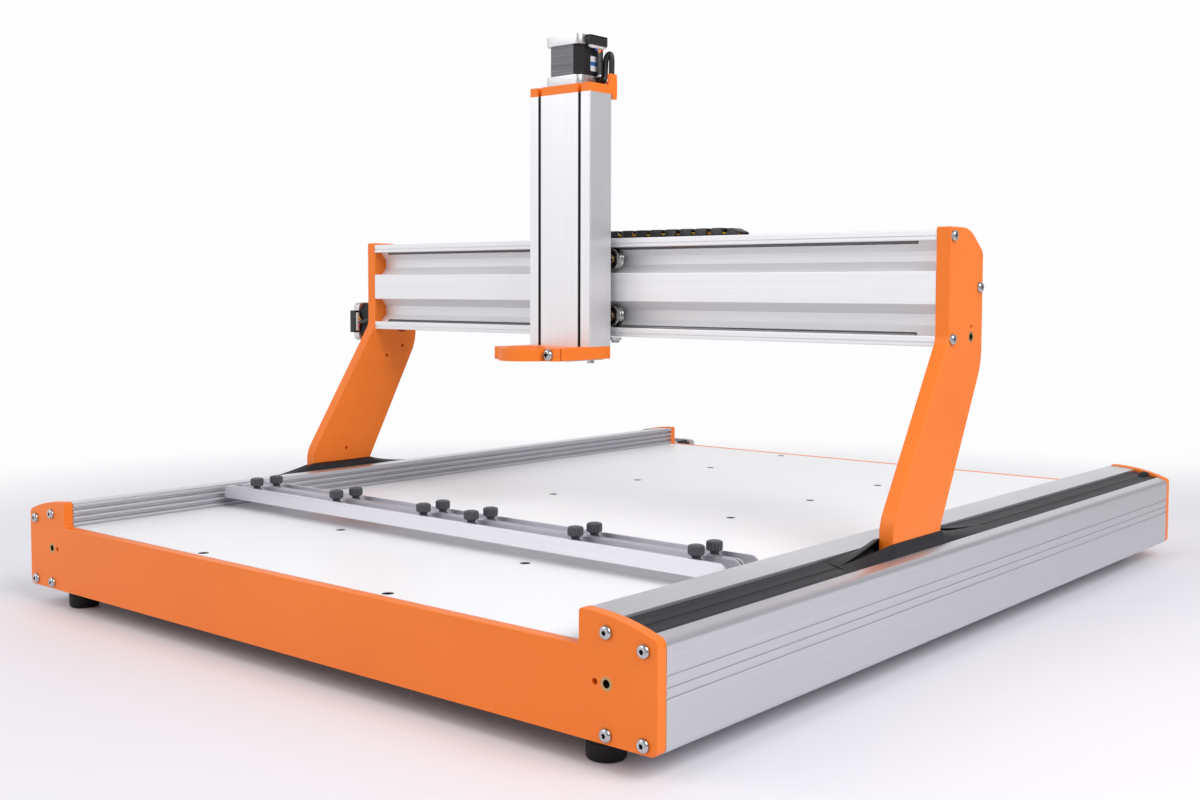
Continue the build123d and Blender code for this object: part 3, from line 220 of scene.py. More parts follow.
def rounded(half_x, half_y, radius, steps=6):
    """The outline of a rectangle with round corners."""
    outline = []
    for corner, (sx, sy) in enumerate(((1, 1), (-1, 1), (-1, -1), (1, -1))):
        for k in range(steps + 1):
            angle = pi / 2 * (corner + k / steps)
            x = sx * (half_x - radius) + radius * cos(angle)
            y = sy * (half_y - radius) + radius * sin(angle)
            outline.append((x, y))
    return outline


# ---------------- materials

def feed(owner, socket, value):
    """Gives an input a value, or links another node's output to it."""
    if isinstance(value, bpy.types.NodeSocket):
        owner.node_tree.links.new(value, socket)
    else:
        socket.default_value = value


def add(owner, kind, inputs, output=0, **settings):
    """Adds a node to a material's or a world's tree and returns one of its outputs."""
    node = owner.node_tree.nodes.new("ShaderNode" + kind)
    for key, value in settings.items():
        setattr(node, key, value)
    for key, value in inputs.items():
        feed(owner, node.inputs[key], value)
    return node.outputs[output]


def dress(material, **inputs):
    """Feeds inputs of a material's Principled shader."""
    surface = material.node_tree.nodes["Principled BSDF"].inputs
    for key, value in inputs.items():
        feed(material, surface[key.replace("_", " ")], value)


def shader(name, colour, roughness, metallic=0.0, **inputs):
    """A material with a Principled shader."""
    material = bpy.data.materials.new(name)
    material.use_nodes = True
    material.diffuse_color = (*colour, 1)
    dress(material, Base_Color=(*colour, 1), Roughness=roughness, Metallic=metallic, **inputs)
    return material


def place(material, scale=(1, 1, 1)):
    """Object coordinates in metres, stretched by the scale."""
    return add(material, "Mapping", {"Vector": add(material, "TexCoord", {}, "Object"), "Scale": scale})


def noise(material, scale, detail, roughness=0.55, stretch=(1, 1, 1)):
    return add(material, "TexNoise", {"Vector": place(material, stretch), "Scale": scale,
                                      "Detail": detail, "Roughness": roughness}, "Fac")


def spread(owner, source, low, high, start=0.3, end=0.7, way="LINEAR"):
    """Maps start..end of a source, for a texture the middle of its range, to low..high."""
    return add(owner, "MapRange", {"Value": source, "From Min": start, "From Max": end,
                                   "To Min": low, "To Max": high}, interpolation_type=way)


def roughen(material, source, low, high, start=0.3, end=0.7):
    """Varies the roughness between two values by a texture."""
    dress(material, Roughness=spread(material, source, low, high, start, end))


def tint(material, source, dark, light):
    """Colours the surface between two shades by a texture."""
    ramp = add(material, "ValToRGB", {"Fac": source})
    for element, position, colour in zip(ramp.node.color_ramp.elements, (0.3, 0.7), (dark, light)):
        element.position = position
        element.color = (*colour, 1)
    dress(material, Base_Color=ramp)


def shades(colour, *factors):
    return [[factor * channel for channel in colour] for factor in factors]


def relief(material, source, height, strength=0.5):
    """Raises the surface by that many metres where the texture is 1."""
    dress(material, Normal=add(material, "Bump", {"Height": source, "Distance": height,
                                                  "Strength": strength}))


def powder_coat():
    """Orange paint with a faint cloudiness and a very fine peel."""
    material = shader("orange_powder_coat", (0.89, 0.19, 0.010), 0.38,
                      Coat_Weight=0.10, Coat_Roughness=0.22, Specular_IOR_Level=0.33)
    tint(material, noise(material, 6.0, 4.0), (0.86, 0.180, 0.008), (0.91, 0.200, 0.012))
    fine = noise(material, 1500.0, 2.0)
    roughen(material, fine, 0.36, 0.5)
    relief(material, fine, 0.00006)
    return material


def anodised(name, colour, along, roughness=0.36, metal=0.92):
    """Drawn and anodised aluminium: fine lines run along one axis."""
    material = shader(name, colour, roughness, metal)
    stretch = [420.0, 420.0, 420.0]
    stretch["XYZ".index(along)] = 2.2
    lines = noise(material, 1.0, 4.0, 0.65, stretch)
    broad = noise(material, 9.0, 3.0)
    tint(material, lines, *shades(colour, 0.965, 1.03))
    mixed = add(material, "Math", {0: lines, 1: 0.7, 2: broad}, operation="MULTIPLY_ADD")
    roughen(material, mixed, roughness - 0.05, roughness + 0.06, 0.5, 1.2)
    relief(material, lines, 0.00002, 0.35)
    return material


def laminate():
    """The bed's white surface, with a fine grain."""
    material = shader("white_laminate", (0.89, 0.89, 0.90), 0.38)
    tint(material, noise(material, 3.0, 5.0), (0.875, 0.875, 0.89), (0.905, 0.905, 0.915))
    grain = noise(material, 900.0, 2.0)
    roughen(material, grain, 0.33, 0.45)
    relief(material, grain, 0.00003, 0.4)
    return material


def dull(name, colour, roughness, light=1.35, **inputs):
    """Moulded plastic or rubber with a fine grain."""
    material = shader(name, colour, roughness, **inputs)
    tint(material, noise(material, 25.0, 4.0), *shades(colour, 1, light))
    fine = noise(material, 700.0, 3.0)
    roughen(material, fine, roughness - 0.08, roughness + 0.1)
    relief(material, fine, 0.00008)
    return material


def bright(name, colour, roughness):
    """Plated, ground or turned metal."""
    material = shader(name, colour, roughness, 1.0)
    cloud = noise(material, 350.0, 4.0)
    tint(material, cloud, *shades(colour, 0.9, 1.06))
    roughen(material, cloud, roughness * 0.7, roughness * 1.4)
    relief(material, cloud, 0.00001, 0.3)
    return material


def rubber_lip():
    """Matt slate rubber with fine lines along its length."""
    material = shader("slate_rubber", (0.012, 0.012, 0.015), 0.45, Specular_IOR_Level=0.3)
    lines = noise(material, 1.0, 3.0, 0.6, (500.0, 3.0, 500.0))
    tint(material, lines, (0.007, 0.007, 0.009), (0.019, 0.019, 0.023))
    roughen(material, lines, 0.42, 0.6)
    relief(material, lines, 0.00008)
    return material


def braid(name, colour):
    """Woven sleeving: small dark and light cells."""
    material = shader(name, colour, 0.55)
    cells = add(material, "TexVoronoi", {"Vector": place(material), "Scale": 1400.0}, "Distance")
    tint(material, cells, *shades(colour, 0.6, 2.2))
    relief(material, cells, 0.0002, 0.8)
    return material


def laminated_steel(name, colour, along, metal=0.75):
    """The stacked sheets of a motor's stator: fine lines across its axis."""
    material = shader(name, colour, 0.42, metal)
    stretch = [12.0, 12.0, 12.0]
    stretch["XYZ".index(along)] = 1600.0
    sheets = noise(material, 1.0, 2.0, stretch=stretch)
    tint(material, sheets, *shades(colour, 0.75, 1.4))
    relief(material, sheets, 0.00003)
    return material


ORANGE = powder_coat()
PROFILE_Y = anodised("anodised_side_profile", (0.63, 0.63, 0.655), "Y")
PROFILE_X = anodised("anodised_beam", (0.83, 0.83, 0.845), "X", 0.42, 0.32)
PROFILE_Z = anodised("anodised_column", (0.80, 0.795, 0.81), "Z", 0.37, 0.8)
BAR_METAL = anodised("anodised_bar", (0.80, 0.80, 0.84), "X", 0.42)
MILLED = anodised("milled_aluminium", (0.70, 0.70, 0.71), "Z", 0.34)
CAST = bright("die_cast_aluminium", (0.66, 0.65, 0.655), 0.34)
BED_WHITE = laminate()
LIP = rubber_lip()
RUBBER = dull("black_rubber", (0.006, 0.006, 0.007), 0.55, Specular_IOR_Level=0.25)
BLACK = dull("black_plastic", (0.009, 0.009, 0.011), 0.4)
KNOB = dull("grey_black_grip", (0.05, 0.052, 0.06), 0.4)
WHITE_PLASTIC = dull("white_socket_plastic", (0.72, 0.72, 0.70), 0.35, light=1.05)
ZINC = bright("zinc_plate", (0.50, 0.505, 0.53), 0.13)
GROUND = bright("ground_steel", (0.68, 0.68, 0.70), 0.14)
# Steel rods made far darker than ground steel: the rod's steel plus painted shade for the shadow gap along
# the beam's lips
ROD_GAP_SHADE = bright("rod_steel_painted_gap_shade", (0.13, 0.125, 0.125), 0.2)
RACE = bright("bearing_steel", (0.45, 0.44, 0.44), 0.16)
BRONZE = bright("turned_bronze", (0.50, 0.34, 0.16), 0.26)
BLACK_STEEL = dull("black_oxide_steel", (0.02, 0.02, 0.021), 0.35)
# Near-black and almost without shine: painted shade for the insides of screw sockets, the column's slots and
# the holes in the leadscrew bushes
PAINTED_SHADE = dull("painted_shade_black", (0.008, 0.008, 0.009), 0.5, Specular_IOR_Level=0.08)
# Near-black and almost without shine: the bed screws' heads are painted as shade in their holes
HOLE_SHADE_STEEL = dull("screw_steel_painted_hole_shade", (0.012, 0.012, 0.013), 0.6, Specular_IOR_Level=0.06)
SHADED_STATORS = {}
STATOR_FACES = {}
# Two copies of the stator's laminated steel: a near-black one, painted shade for the connector side and also
# used for the cut corners, and a lighter one for the other three flat sides
for axis in "XYZ":
    SHADED_STATORS[axis] = laminated_steel(f"stator_painted_shade_{axis.lower()}", (0.012, 0.012, 0.014), axis, 0.2)
    STATOR_FACES[axis] = laminated_steel(f"stator_face_{axis.lower()}", (0.15, 0.15, 0.165), axis)
SLEEVE = braid("braided_sleeve", (0.035, 0.035, 0.037))
WIRE_SHADES = {"red": (0.62, 0.03, 0.02), "blue": (0.02, 0.10, 0.42),
               "orange": (0.80, 0.24, 0.02), "yellow": (0.78, 0.50, 0.03)}
WIRES = {colour: dull(f"wire_{colour}", shade, 0.4, light=1.1) for colour, shade in WIRE_SHADES.items()}
LABEL = dull("plain_label", (0.62, 0.64, 0.66), 0.4, light=1.06)
LABEL_BLUE = dull("label_band", (0.03, 0.12, 0.36), 0.4, light=1.1)

KEPT = {
    ORANGE: ("front_panel", "rear_panel", "left_gantry_leg", "right_gantry_leg", "z_top_plate", "tool_clamp"),
    PROFILE_Y: ("left_side_profile", "right_side_profile"),
    PROFILE_X: ("gantry_beam",),
    PROFILE_Z: ("z_profile",),
    BAR_METAL: ("front_clamp_bar", "rear_clamp_bar"),
    MILLED: ("cross_slide_plate", "x_nut_bracket", "bed_crossbars", "chain_bracket", "clamp_cover_plate"),
    BED_WHITE: ("machine_bed",),
    GROUND: ("y_guide_rods", "z_guide_rods", "left_y_leadscrew", "right_y_leadscrew"),
    ROD_GAP_SHADE: ("beam_guide_rods",),
    BRONZE: ("y_screw_bushes", "x_screw_bush", "y_lead_nuts", "carriage_lead_nuts"),
    RACE: tuple(f"y_rollers_{end}_{level}" for end in ("front", "rear") for level in ("upper", "lower")),
    ZINC: ("carriage_bolts",),
    BLACK: ("z_glide_blocks",),
}
for material, nodes in KEPT.items():
    for node in nodes:
        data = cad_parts[node].data
        data.materials.clear()
        data.materials.append(material)


# ---------------- fasteners

def socket_head(form, at, radius, height, bore, lobes=6, share=0.14, deep=0.6):
    """A domed screw head on a face, with a fluted socket in its top."""
    form.at = at
    profile = [(radius * 0.93, 0.0), (radius, 0.06 * height)]
    flat = 0.52 * radius
    for k in range(1, 7):
        angle = pi / 2 * k / 6
        profile.append((flat + (radius - flat) * cos(angle), height * (0.12 + 0.88 * sin(angle))))
    profile += [
        (bore * 1.10, height, lobes, share * 0.8),
        (bore, height * 0.93, lobes, share),
        (bore * 0.97, height * (1 - deep), lobes, share),
        (bore * 0.4, height * (0.94 - deep)),
    ]
    segments = 48
    faces = form.lathe(profile, segments)
    # The socket's walls and floor take the second material, the near-black painted shade
    for face in faces[-2 - 2 * segments:-2] + faces[-1:]:
        face.material_index = 1


def shank(form, at, radius, length):
    form.at = at
    form.lathe([(radius, 0.0), (radius, -length + 0.6 * radius), (radius * 0.6, -length)], 16)


BUTTON_H = 3.3 * MM  # a button head's height, socket and shank
BUTTON_SOCKET_R = 1.7 * MM
BUTTON_SHANK_R = 2.9 * MM
HEX_HEAD_H = 4 * MM  # height of the cylinder heads with a hexagon socket
HEXAGON = (6, 0.07)


def button_screw(form, at, radius, length):
    """A screw with a domed head on a face; the length includes the head."""
    socket_head(form, at, radius, BUTTON_H, BUTTON_SOCKET_R)
    shank(form, at, BUTTON_SHANK_R, length - BUTTON_H)


def hexagon_head(form, at, radius, rim, bore, lead_in, floor):
    """A cylinder head with a rounded rim and a hexagon socket."""
    form.at = at
    form.lathe([
        (radius, 0.0), (radius, HEX_HEAD_H - 0.5 * MM), (radius - rim, HEX_HEAD_H),
        (bore + 0.2 * MM, HEX_HEAD_H, *HEXAGON), (bore, HEX_HEAD_H - lead_in, *HEXAGON),
        (bore, floor, *HEXAGON), (0.8 * MM, 1 * MM),
    ])


def roller_axle(form, reach, radius):
    """An axle from its retaining head to the head inside the leg's foot."""
    head = 2.2 * MM
    rim = 0.4 * MM
    form.lathe(millimetres((4.2, 0.0), (4.5, 0.4), (4.5, 2.1)) + [
        (3 * MM, head), (3 * MM, reach - head), (radius - rim, reach - head), (radius, reach - 1.8 * MM),
        (radius, reach - rim), (radius - rim, reach),
    ], 32)


def draw_panel_screws():
    """Four screws hold each end of a panel to its side profile."""
    form = Form()
    for low, high in solids("panel_screws"):
        middle = (low + high) / 2
        way = -1 if middle.y < 0 else 1
        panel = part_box("front_panel")[0].y if way < 0 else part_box("rear_panel")[1].y
        at = facing((middle.x, panel, middle.z), (0, way, 0), (1, 0, 0))
        button_screw(form, at, (high.x - low.x) / 2, high.y - low.y)
    form.done("panel_screw_set", [ZINC, PAINTED_SHADE], "frame", ["panel_screws"])


def draw_gantry_bolts():
    """Screws through the legs into the beam, and the rollers' axles in the legs' feet."""
    form = Form()
    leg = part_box("right_gantry_leg")
    beam_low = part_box("gantry_beam")[0].z
    for low, high in solids("gantry_bolts"):
        middle = (low + high) / 2
        way = -1 if middle.x < 0 else 1
        radius = (high.y - low.y) / 2
        if middle.z > beam_low - 10 * MM:
            at = facing((way * leg[1].x, middle.y, middle.z), (way, 0, 0), (0, 1, 0))
            button_screw(form, at, radius, high.x - low.x)
        else:
            inner = low.x if way > 0 else high.x
            form.at = facing((inner, middle.y, middle.z), (way, 0, 0), (0, 1, 0))
            roller_axle(form, high.x - low.x, radius)
            # The spacer between the leg and the roller
            form.at = facing((way * leg[0].x, middle.y, middle.z), (-way, 0, 0), (0, 1, 0))
            form.lathe(millimetres((4.5, 0.0), (4.5, 7.0), (4.1, 7.2)), 32)
    form.done("gantry_bolt_set", [ZINC, PAINTED_SHADE], "gantry", ["gantry_bolts"])


def draw_bed_screws():
    form = Form()
    for low, high in solids("bed_screws"):
        middle = (low + high) / 2
        at = facing((middle.x, middle.y, high.z - HEX_HEAD_H), (0, 0, 1), (1, 0, 0))
        hexagon_head(form, at, (high.x - low.x) / 2, 0.4 * MM, 2.5 * MM, 0.3 * MM, 1.6 * MM)
        shank(form, at, 2.3 * MM, high.z - low.z - HEX_HEAD_H)
    # The heads are painted near-black, as shade in their holes
    form.done("bed_screw_set", [HOLE_SHADE_STEEL], "frame", ["bed_screws"])


def draw_clamp_screws():
    """The long screw across the clamp's slit, and the bolts under the cover plate."""
    form = Form()
    pinch_h = 4.5 * MM
    for low, high in solids("tool_clamp_screws"):
        middle = (low + high) / 2
        radius = (high.x - low.x) / 2
        if high.y - low.y > 20 * MM:
            at = facing((middle.x, low.y + pinch_h, middle.z), (0, -1, 0), (1, 0, 0))
            socket_head(form, at, radius, pinch_h, 2.6 * MM, 4, 0.42, 0.5)
            shank(form, at, 2.9 * MM, high.y - low.y - pinch_h)
        else:
            at = facing((middle.x, middle.y, low.z + HEX_HEAD_H), (0, 0, -1), (1, 0, 0))
            hexagon_head(form, at, radius, 0.5 * MM, 2.4 * MM, 0.4 * MM, 1.4 * MM)
            shank(form, at, 2.4 * MM, high.z - low.z - HEX_HEAD_H)
    form.done("tool_clamp_screw_set", [ZINC, PAINTED_SHADE], "z_column", ["tool_clamp_screws"])


def draw_thumbscrews(end):
    """Grips with a knurled band, a waist and a collar, on black oxide screws."""
    form = Form()
    for low, high in solids(f"{end}_thumbscrews"):
        middle = (low + high) / 2
        form.at = Matrix.Translation((middle.x, middle.y, low.z))
        head = high.z - low.z - 9.5 * MM
        grip = (high.x - low.x) / 2 / MM
        ribs = 16
        profile = millimetres(
            (4.8, -6.7), (5.3, -6.3), (5.3, -3.4), (5.0, -3.0), (3.9, -2.7), (3.8, -0.9), (4.4, -0.2),
            (grip - 1.4, 0.5), (grip - 0.6, 1.2), (grip - 0.5, 1.6, ribs, 0.035),
            (grip - 0.6, 2.1, ribs, 0.065), (grip - 0.6, 7.3, ribs, 0.065), (grip - 0.6, 7.9, ribs, 0.035),
            (grip - 0.9, 8.5), (grip - 2.1, 9.0), (3.4, 9.2), (3.1, 8.9), (0.6, 8.9),
        )
        form.slot = 0
        form.lathe([(radius, head + height, *flutes) for radius, height, *flutes in profile], 108)
        form.slot = 1
        form.lathe(millimetres((2.2, 0.0), (2.9, 0.8)) + [(2.9 * MM, head - 6.6 * MM)], 24)
    form.done(f"{end}_thumbscrew_set", [KNOB, BLACK_STEEL], f"{end}_bar_screws",
              [f"{end}_thumbscrews"])


draw_panel_screws()
draw_gantry_bolts()
draw_bed_screws()
draw_clamp_screws()
for end in ("front", "rear"):
    draw_thumbscrews(end)


# ---------------- feet

def draw_feet():
    """Turned rubber feet: a screw hole with a recess below, and a groove under the top."""
    form = Form()
    for low, high in solids("rubber_feet"):
        middle = (low + high) / 2
        radius = (high.x - low.x) / 2 / MM
        top = high.z / MM
        form.at = Matrix.Translation((middle.x, middle.y, 0))
        form.lathe(millimetres(
            (3.3, top - 0.5), (3.3, 6.5), (6.2, 6.0), (6.8, 0.5), (7.4, 0.0), (radius - 2.6, 0.0),
            (radius - 1.0, 0.7), (radius - 0.2, 2.1), (radius, 4.0), (radius, 13.2), (radius - 0.5, 13.6),
            (radius - 0.5, 14.2), (radius, 14.6), (radius, top - 0.8), (radius - 0.8, top),
        ), 64)
    form.done("rubber_foot_set", [RUBBER], "frame", ["rubber_feet"])


draw_feet()


# ---------------- small fittings

STRIP_OFFSET = 29 * MM  # the column's slots, from its middle
STRIP_W = 3.9 * MM


def draw_slot_shade_strips():
    """Black strips lie in the two slots of the column's front, as painted shade in the slots."""
    form = Form()
    low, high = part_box("z_profile")
    middle = (low.x + high.x) / 2
    for side in (-1, 1):
        x = middle + side * STRIP_OFFSET
        front_corner = (x - STRIP_W / 2, low.y + 1 * MM, low.z + 0.2 * MM)
        rear_corner = (x + STRIP_W / 2, low.y + 2.6 * MM, high.z - 0.2 * MM)
        form.box(front_corner, rear_corner, 0.2 * MM)
    form.done("column_slot_strips", [PAINTED_SHADE], "z_column")


def draw_shade_plug(name, end, way, body):
    """A black disc with a hexagon socket in the end of a leadscrew: painted shade that darkens the hole in
    its bush.
    """
    form = Form()
    form.at = facing(end, way, (0, 0, 1))
    form.lathe(millimetres((2.95, 0.0), (2.95, 2.4), (2.6, 2.7), (1.6, 2.7, *HEXAGON),
                           (1.5, 1.2, *HEXAGON), (0.4, 1.0)))
    form.done(name, [PAINTED_SHADE], body)


def draw_journal_shade_plugs():
    """The Y screws and the X screw each end in such a disc inside their bush, as painted shade in the hole.
    """
    for side in ("left", "right"):
        low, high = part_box(f"{side}_y_leadscrew")
        end = ((low.x + high.x) / 2, low.y, (low.z + high.z) / 2)
        draw_shade_plug(f"{side}_y_screw_plug", end, (0, -1, 0), f"{side}_y_screw")
    low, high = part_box("x_leadscrew")
    draw_shade_plug("x_screw_plug", (high.x, (low.y + high.y) / 2, (low.z + high.z) / 2), (1, 0, 0), "x_screw")


draw_slot_shade_strips()
draw_journal_shade_plugs()


# ---------------- dust lips

# The right-hand profile's slot and lips; the left-hand ones are their mirror image
LIP_SOLIDS = [corners for corners in solids("dust_lips") if corners[0].x > 0]
SLOT_IN = min(low.x for low, high in LIP_SOLIDS)
SLOT_OUT = max(high.x for low, high in LIP_SOLIDS)
LIP_T = 3 * MM
CROWN_IN = max(high.z for low, high in LIP_SOLIDS)
CROWN_OUT = min(low.z for low, high in LIP_SOLIDS) + LIP_T
SEAM = (SLOT_IN + SLOT_OUT) / 2
LEG_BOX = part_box("right_gantry_leg")
LEG_IN = LEG_BOX[0].x
LEG_OUT = LEG_BOX[1].x
FRONT_REACH = 75 * MM  # how far the lips stay open in front of a leg's foot, and behind it
REAR_REACH = 104 * MM


def crown(x):
    """Height of the closed lips' upper face at a distance from the machine's middle."""
    return CROWN_IN + (CROWN_OUT - CROWN_IN) * (x - SLOT_IN) / (SLOT_OUT - SLOT_IN)


def lip_section(edge):
    """One closed lip's section, from the slot's edge to the seam."""
    towards = 1 if edge < SEAM else -1
    section = []
    drops = ((0.0, 0.9), (0.06, 0.35), (0.14, 0.1), (0.5, 0.25), (0.86, 0.55), (0.95, 0.35), (0.99, 0.9))
    for share, drop in drops:
        x = edge + (SEAM - edge) * share
        section.append((x, crown(x) - drop * MM))
    under = [(x, z - 1.6 * MM) for x, z in reversed(section)]
    return (section + under)[::towards]


def draw_closed_lips():
    """Two lips over each slot, which meet at the seam."""
    form = Form()
    low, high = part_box("dust_lips")
    for side in (-1, 1):
        for edge in (SLOT_IN, SLOT_OUT):
            section = lip_section(edge)
            form.loft([[(side * x, y, z) for x, z in section] for y in (low.y, high.y)])
    form.done("closed_dust_lips", [LIP], "frame", ["dust_lips"])


def parted_section(side, edge, y, parting):
    """One lip beside the leg's foot: it stands up as the parting goes from 0 to 1."""
    inner = edge < SEAM
    leg_face = (LEG_IN - 0.2 * MM) if inner else (LEG_OUT + 0.2 * MM)
    rise = (12.6 if inner else 9.5) * MM
    free = SEAM + (leg_face - SEAM) * parting
    tip = (free, crown(SEAM) + 0.15 * MM + rise * parting)
    root = (edge, crown(edge) - 0.2 * MM)
    knee = (edge + (free - edge) * (0.55 - 0.35 * parting),
            crown(edge) + (tip[1] - crown(edge)) * (0.5 + 0.45 * parting))
    over = []
    steps = 8
    for k in range(steps + 1):
        u = k / steps
        over.append(tuple((1 - u) ** 2 * root[i] + 2 * u * (1 - u) * knee[i] + u * u * tip[i]
                          for i in (0, 1)))
    thick = 1.3 * MM
    inward = thick * (1 if inner else -1)
    under = [(x + inward * 0.5 * parting * (1 - k / steps), z - thick) for k, (x, z) in enumerate(over)]
    ring = over + under[::-1]
    return [(side * x, y, z) for x, z in ring]


def parting_at(name, share):
    """How far the lips stand open at a share of the way along a stretch."""
    if name == "front":
        return share ** 1.3
    if name == "rear":
        return 0.7 * (1 - share) ** 1.3 + 0.3 * (1 - share) ** 5
    return 1.0


def draw_parted_lips():
    """Where a leg passes, the lips stand up round its foot and close again beyond it."""
    foot = [corners for corners in solids("y_lead_nuts") if corners[0].x > 0][0]
    foot_front = LEG_BOX[0].y - 0.3 * MM
    foot_rear = (foot[0].y + foot[1].y) / 2 + 43.7 * MM
    stretches = {
        "front": (foot_front - FRONT_REACH, foot_front, 24),
        "middle": (foot_front, foot_rear, 6),
        "rear": (foot_rear, foot_rear + REAR_REACH, 28),
    }
    for side, side_name in ((-1, "left"), (1, "right")):
        for name, (start, end, steps) in stretches.items():
            form = Form()
            for edge in (SLOT_IN, SLOT_OUT):
                rings = []
                for k in range(steps + 1):
                    y = start + (end - start) * k / steps
                    rings.append(parted_section(side, edge, y, parting_at(name, k / steps)))
                form.loft(rings)
            piece = form.done(f"{side_name}_lips_{name}_of_leg", [LIP], "gantry", sharp=60)
            if name == "front":
                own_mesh(piece)
            if name == "rear":
                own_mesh(piece)


def draw_lip_stops():
    """A moulded wedge holds the lips' rear end in each profile."""
    form = Form()
    high_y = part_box("dust_lips")[1].y
    foot = 10 * MM
    shoulder = 12 * MM
    for side in (-1, 1):
        rings = []
        for back, rise in ((20 * MM, 0.0), (12 * MM, 3.5 * MM), (1 * MM, 3.5 * MM)):
            ring = [(SLOT_IN + foot, -1 * MM), (SLOT_IN + shoulder, rise),
                    (SLOT_OUT - shoulder, rise), (SLOT_OUT - foot, -1 * MM)]
            rings.append([(side * x, high_y - back, crown(x) + z) for x, z in ring])
        form.loft(rings)
    form.done("lip_end_stops", [RUBBER], "frame")


draw_closed_lips()
draw_parted_lips()
draw_lip_stops()


# ---------------- motors

CAP = 10.7 * MM  # length of an end cap
SIDE = 50 * MM
MOTOR_L = 54 * MM
STATOR_CUT = 8.3 * MM  # the stator's cut corners
SCREW_OFFSET = 19.6 * MM


def draw_motor(name, at, body, axis, stands_for):
    """A stepper motor on its mounting face, which is the plane z = 0 of `at`."""
    half = SIDE / 2
    caps = Form()
    caps.at = at
    for low, high in ((0.0, CAP), (MOTOR_L - CAP, MOTOR_L)):
        caps.prism(rounded(half, half, 6.2 * MM), low, high, 0.9 * MM, 3)
    caps.done(f"{name}_caps", [CAST], body, [stands_for[0]])
    # The four long screws' heads and a bearing cover, on the outer cap
    screws = Form()
    for x in (-1, 1):
        for y in (-1, 1):
            corner = at @ Matrix.Translation((x * SCREW_OFFSET, y * SCREW_OFFSET, MOTOR_L - 1.9 * MM))
            socket_head(screws, corner, 2.6 * MM, 1.9 * MM, 1.1 * MM, 4, 0.4, 0.5)
    screws.at = at @ Matrix.Translation((0, 0, MOTOR_L - 2 * MM))
    screws.lathe(millimetres((9.0, 0.0), (9.0, 1.6), (8.6, 1.95), (6.2, 1.95), (5.8, 1.2),
                             (2.6, 1.2), (2.5, 1.8), (1.8, 1.95)), 40)
    screws.done(f"{name}_screws", [ZINC, PAINTED_SHADE], body)
    # The stator: an eight-sided stack with a fine groove between its sheets
    stator = Form()
    stator.at = at
    reach = half - 0.8 * MM
    sheets = 40
    rings = []
    for k in range(sheets + 1):
        z = CAP + (MOTOR_L - 2 * CAP) * k / sheets
        for inset, shift in ((0.0, -0.22), (0.12 * MM, 0.0), (0.0, 0.22)):
            height = min(max(z + shift * MM, CAP), MOTOR_L - CAP)
            r = reach - inset
            c = r - STATOR_CUT
            outline = ((r, -c), (r, c), (c, r), (-c, r), (-r, c), (-r, -c), (-c, -r), (c, -r))
            rings.append([(x, y, height) for x, y in outline])
    faces = stator.loft(rings)
    # The connector side and the cut corners keep the near-black copy, painted shade on the connector side;
    # the other three flat sides take the lighter copy
    for index, face in enumerate(faces[:-2]):
        if index % 8 in (2, 4, 6):
            face.material_index = 1
    stator.done(f"{name}_stator", [SHADED_STATORS[axis], STATOR_FACES[axis]], body,
                [stands_for[1]])


def draw_label(name, at, body):
    """A plain two-tone sticker on one face of a stator."""
    form = Form()
    form.at = at
    form.prism(rounded(5.5 * MM, 8 * MM, 0.8 * MM, 3), 0.0, 0.15 * MM)
    form.slot = 1
    form.prism(rounded(5.5 * MM, 2.2 * MM, 0.6 * MM, 3), 0.12 * MM, 0.22 * MM)
    form.done(name, [LABEL, LABEL_BLUE], body)


def draw_connector(name, at, body, stands_for=()):
    """A plug housing on a motor's side: +Z of `at` points away from the motor, +Y along its axis."""
    form = Form()
    form.at = at @ Matrix.Scale(MM, 4)
    wide = 14.5
    deep = 6.8
    tall = 10.5
    wall = 1.1
    bevel = 0.5 * MM
    # The open face looks towards the mounting face, -Y
    form.box((-wide, tall - 2.4, 0), (wide, tall, deep), 0.7 * MM)
    for low, high in (((-wide, 0, 0), (-wide + wall, tall, deep)), ((wide - wall, 0, 0), (wide, tall, deep)),
                      ((-wide, 0, deep - wall), (wide, tall, deep)), ((-wide, 2.5, 0), (wide, tall, wall))):
        form.box(low, high, bevel)
    for x in (-10.8, 10.8):
        form.box((x - 1.4, 1.2, deep - 0.4), (x + 1.4, tall - 3, deep + 0.35), 0.3 * MM)
    form.slot = 1
    socket = wide - 2.4
    form.box((-socket, -2.2, 1.4), (socket, tall - 2, deep - 1.4), bevel)
    for k in range(6):
        x = (k - 2.5) * 3.4
        form.box((x - 1.1, -2.9, 2.0), (x + 1.1, -1.8, deep - 2), 0.3 * MM)
    form.done(name, [BLACK, WHITE_PLASTIC], body, stands_for)


def draw_wires(name, at, gather, body, colours):
    """Wires from a connector's socket into the sleeve that starts at `gather`."""
    form = Form()
    materials = []
    for k, colour in enumerate(colours):
        start = Vector(((k - (len(colours) - 1) / 2) * 4.6 * MM, -2.0 * MM, 3.4 * MM))
        out = start + Vector((0, -1.6 * MM, 0))
        offset = Vector((cos(tau * k / len(colours)), 0, sin(tau * k / len(colours)))) * 1.1 * MM
        end = Vector(gather) + offset
        points = [at @ start, at @ out, at @ (end + Vector((0, 1.6 * MM, 0))), at @ end]
        form.slot = len(materials)
        form.tube(centre_line(points), 0.8 * MM, 8)
        materials.append(WIRES[colour])
    form.done(name, materials, body)


def draw_cable(name, points, radius, material, body, stands_for=()):
    """A sleeved cable along a smooth line, its weave as fine waves."""

    def weave(step, angle):
        return radius * (0.07 if step % 2 else -0.05) + 0.03 * radius * cos(10 * angle)

    form = Form()
    form.tube(centre_line(points), radius, 20, weave)
    form.done(name, [material], body, stands_for, sharp=70)


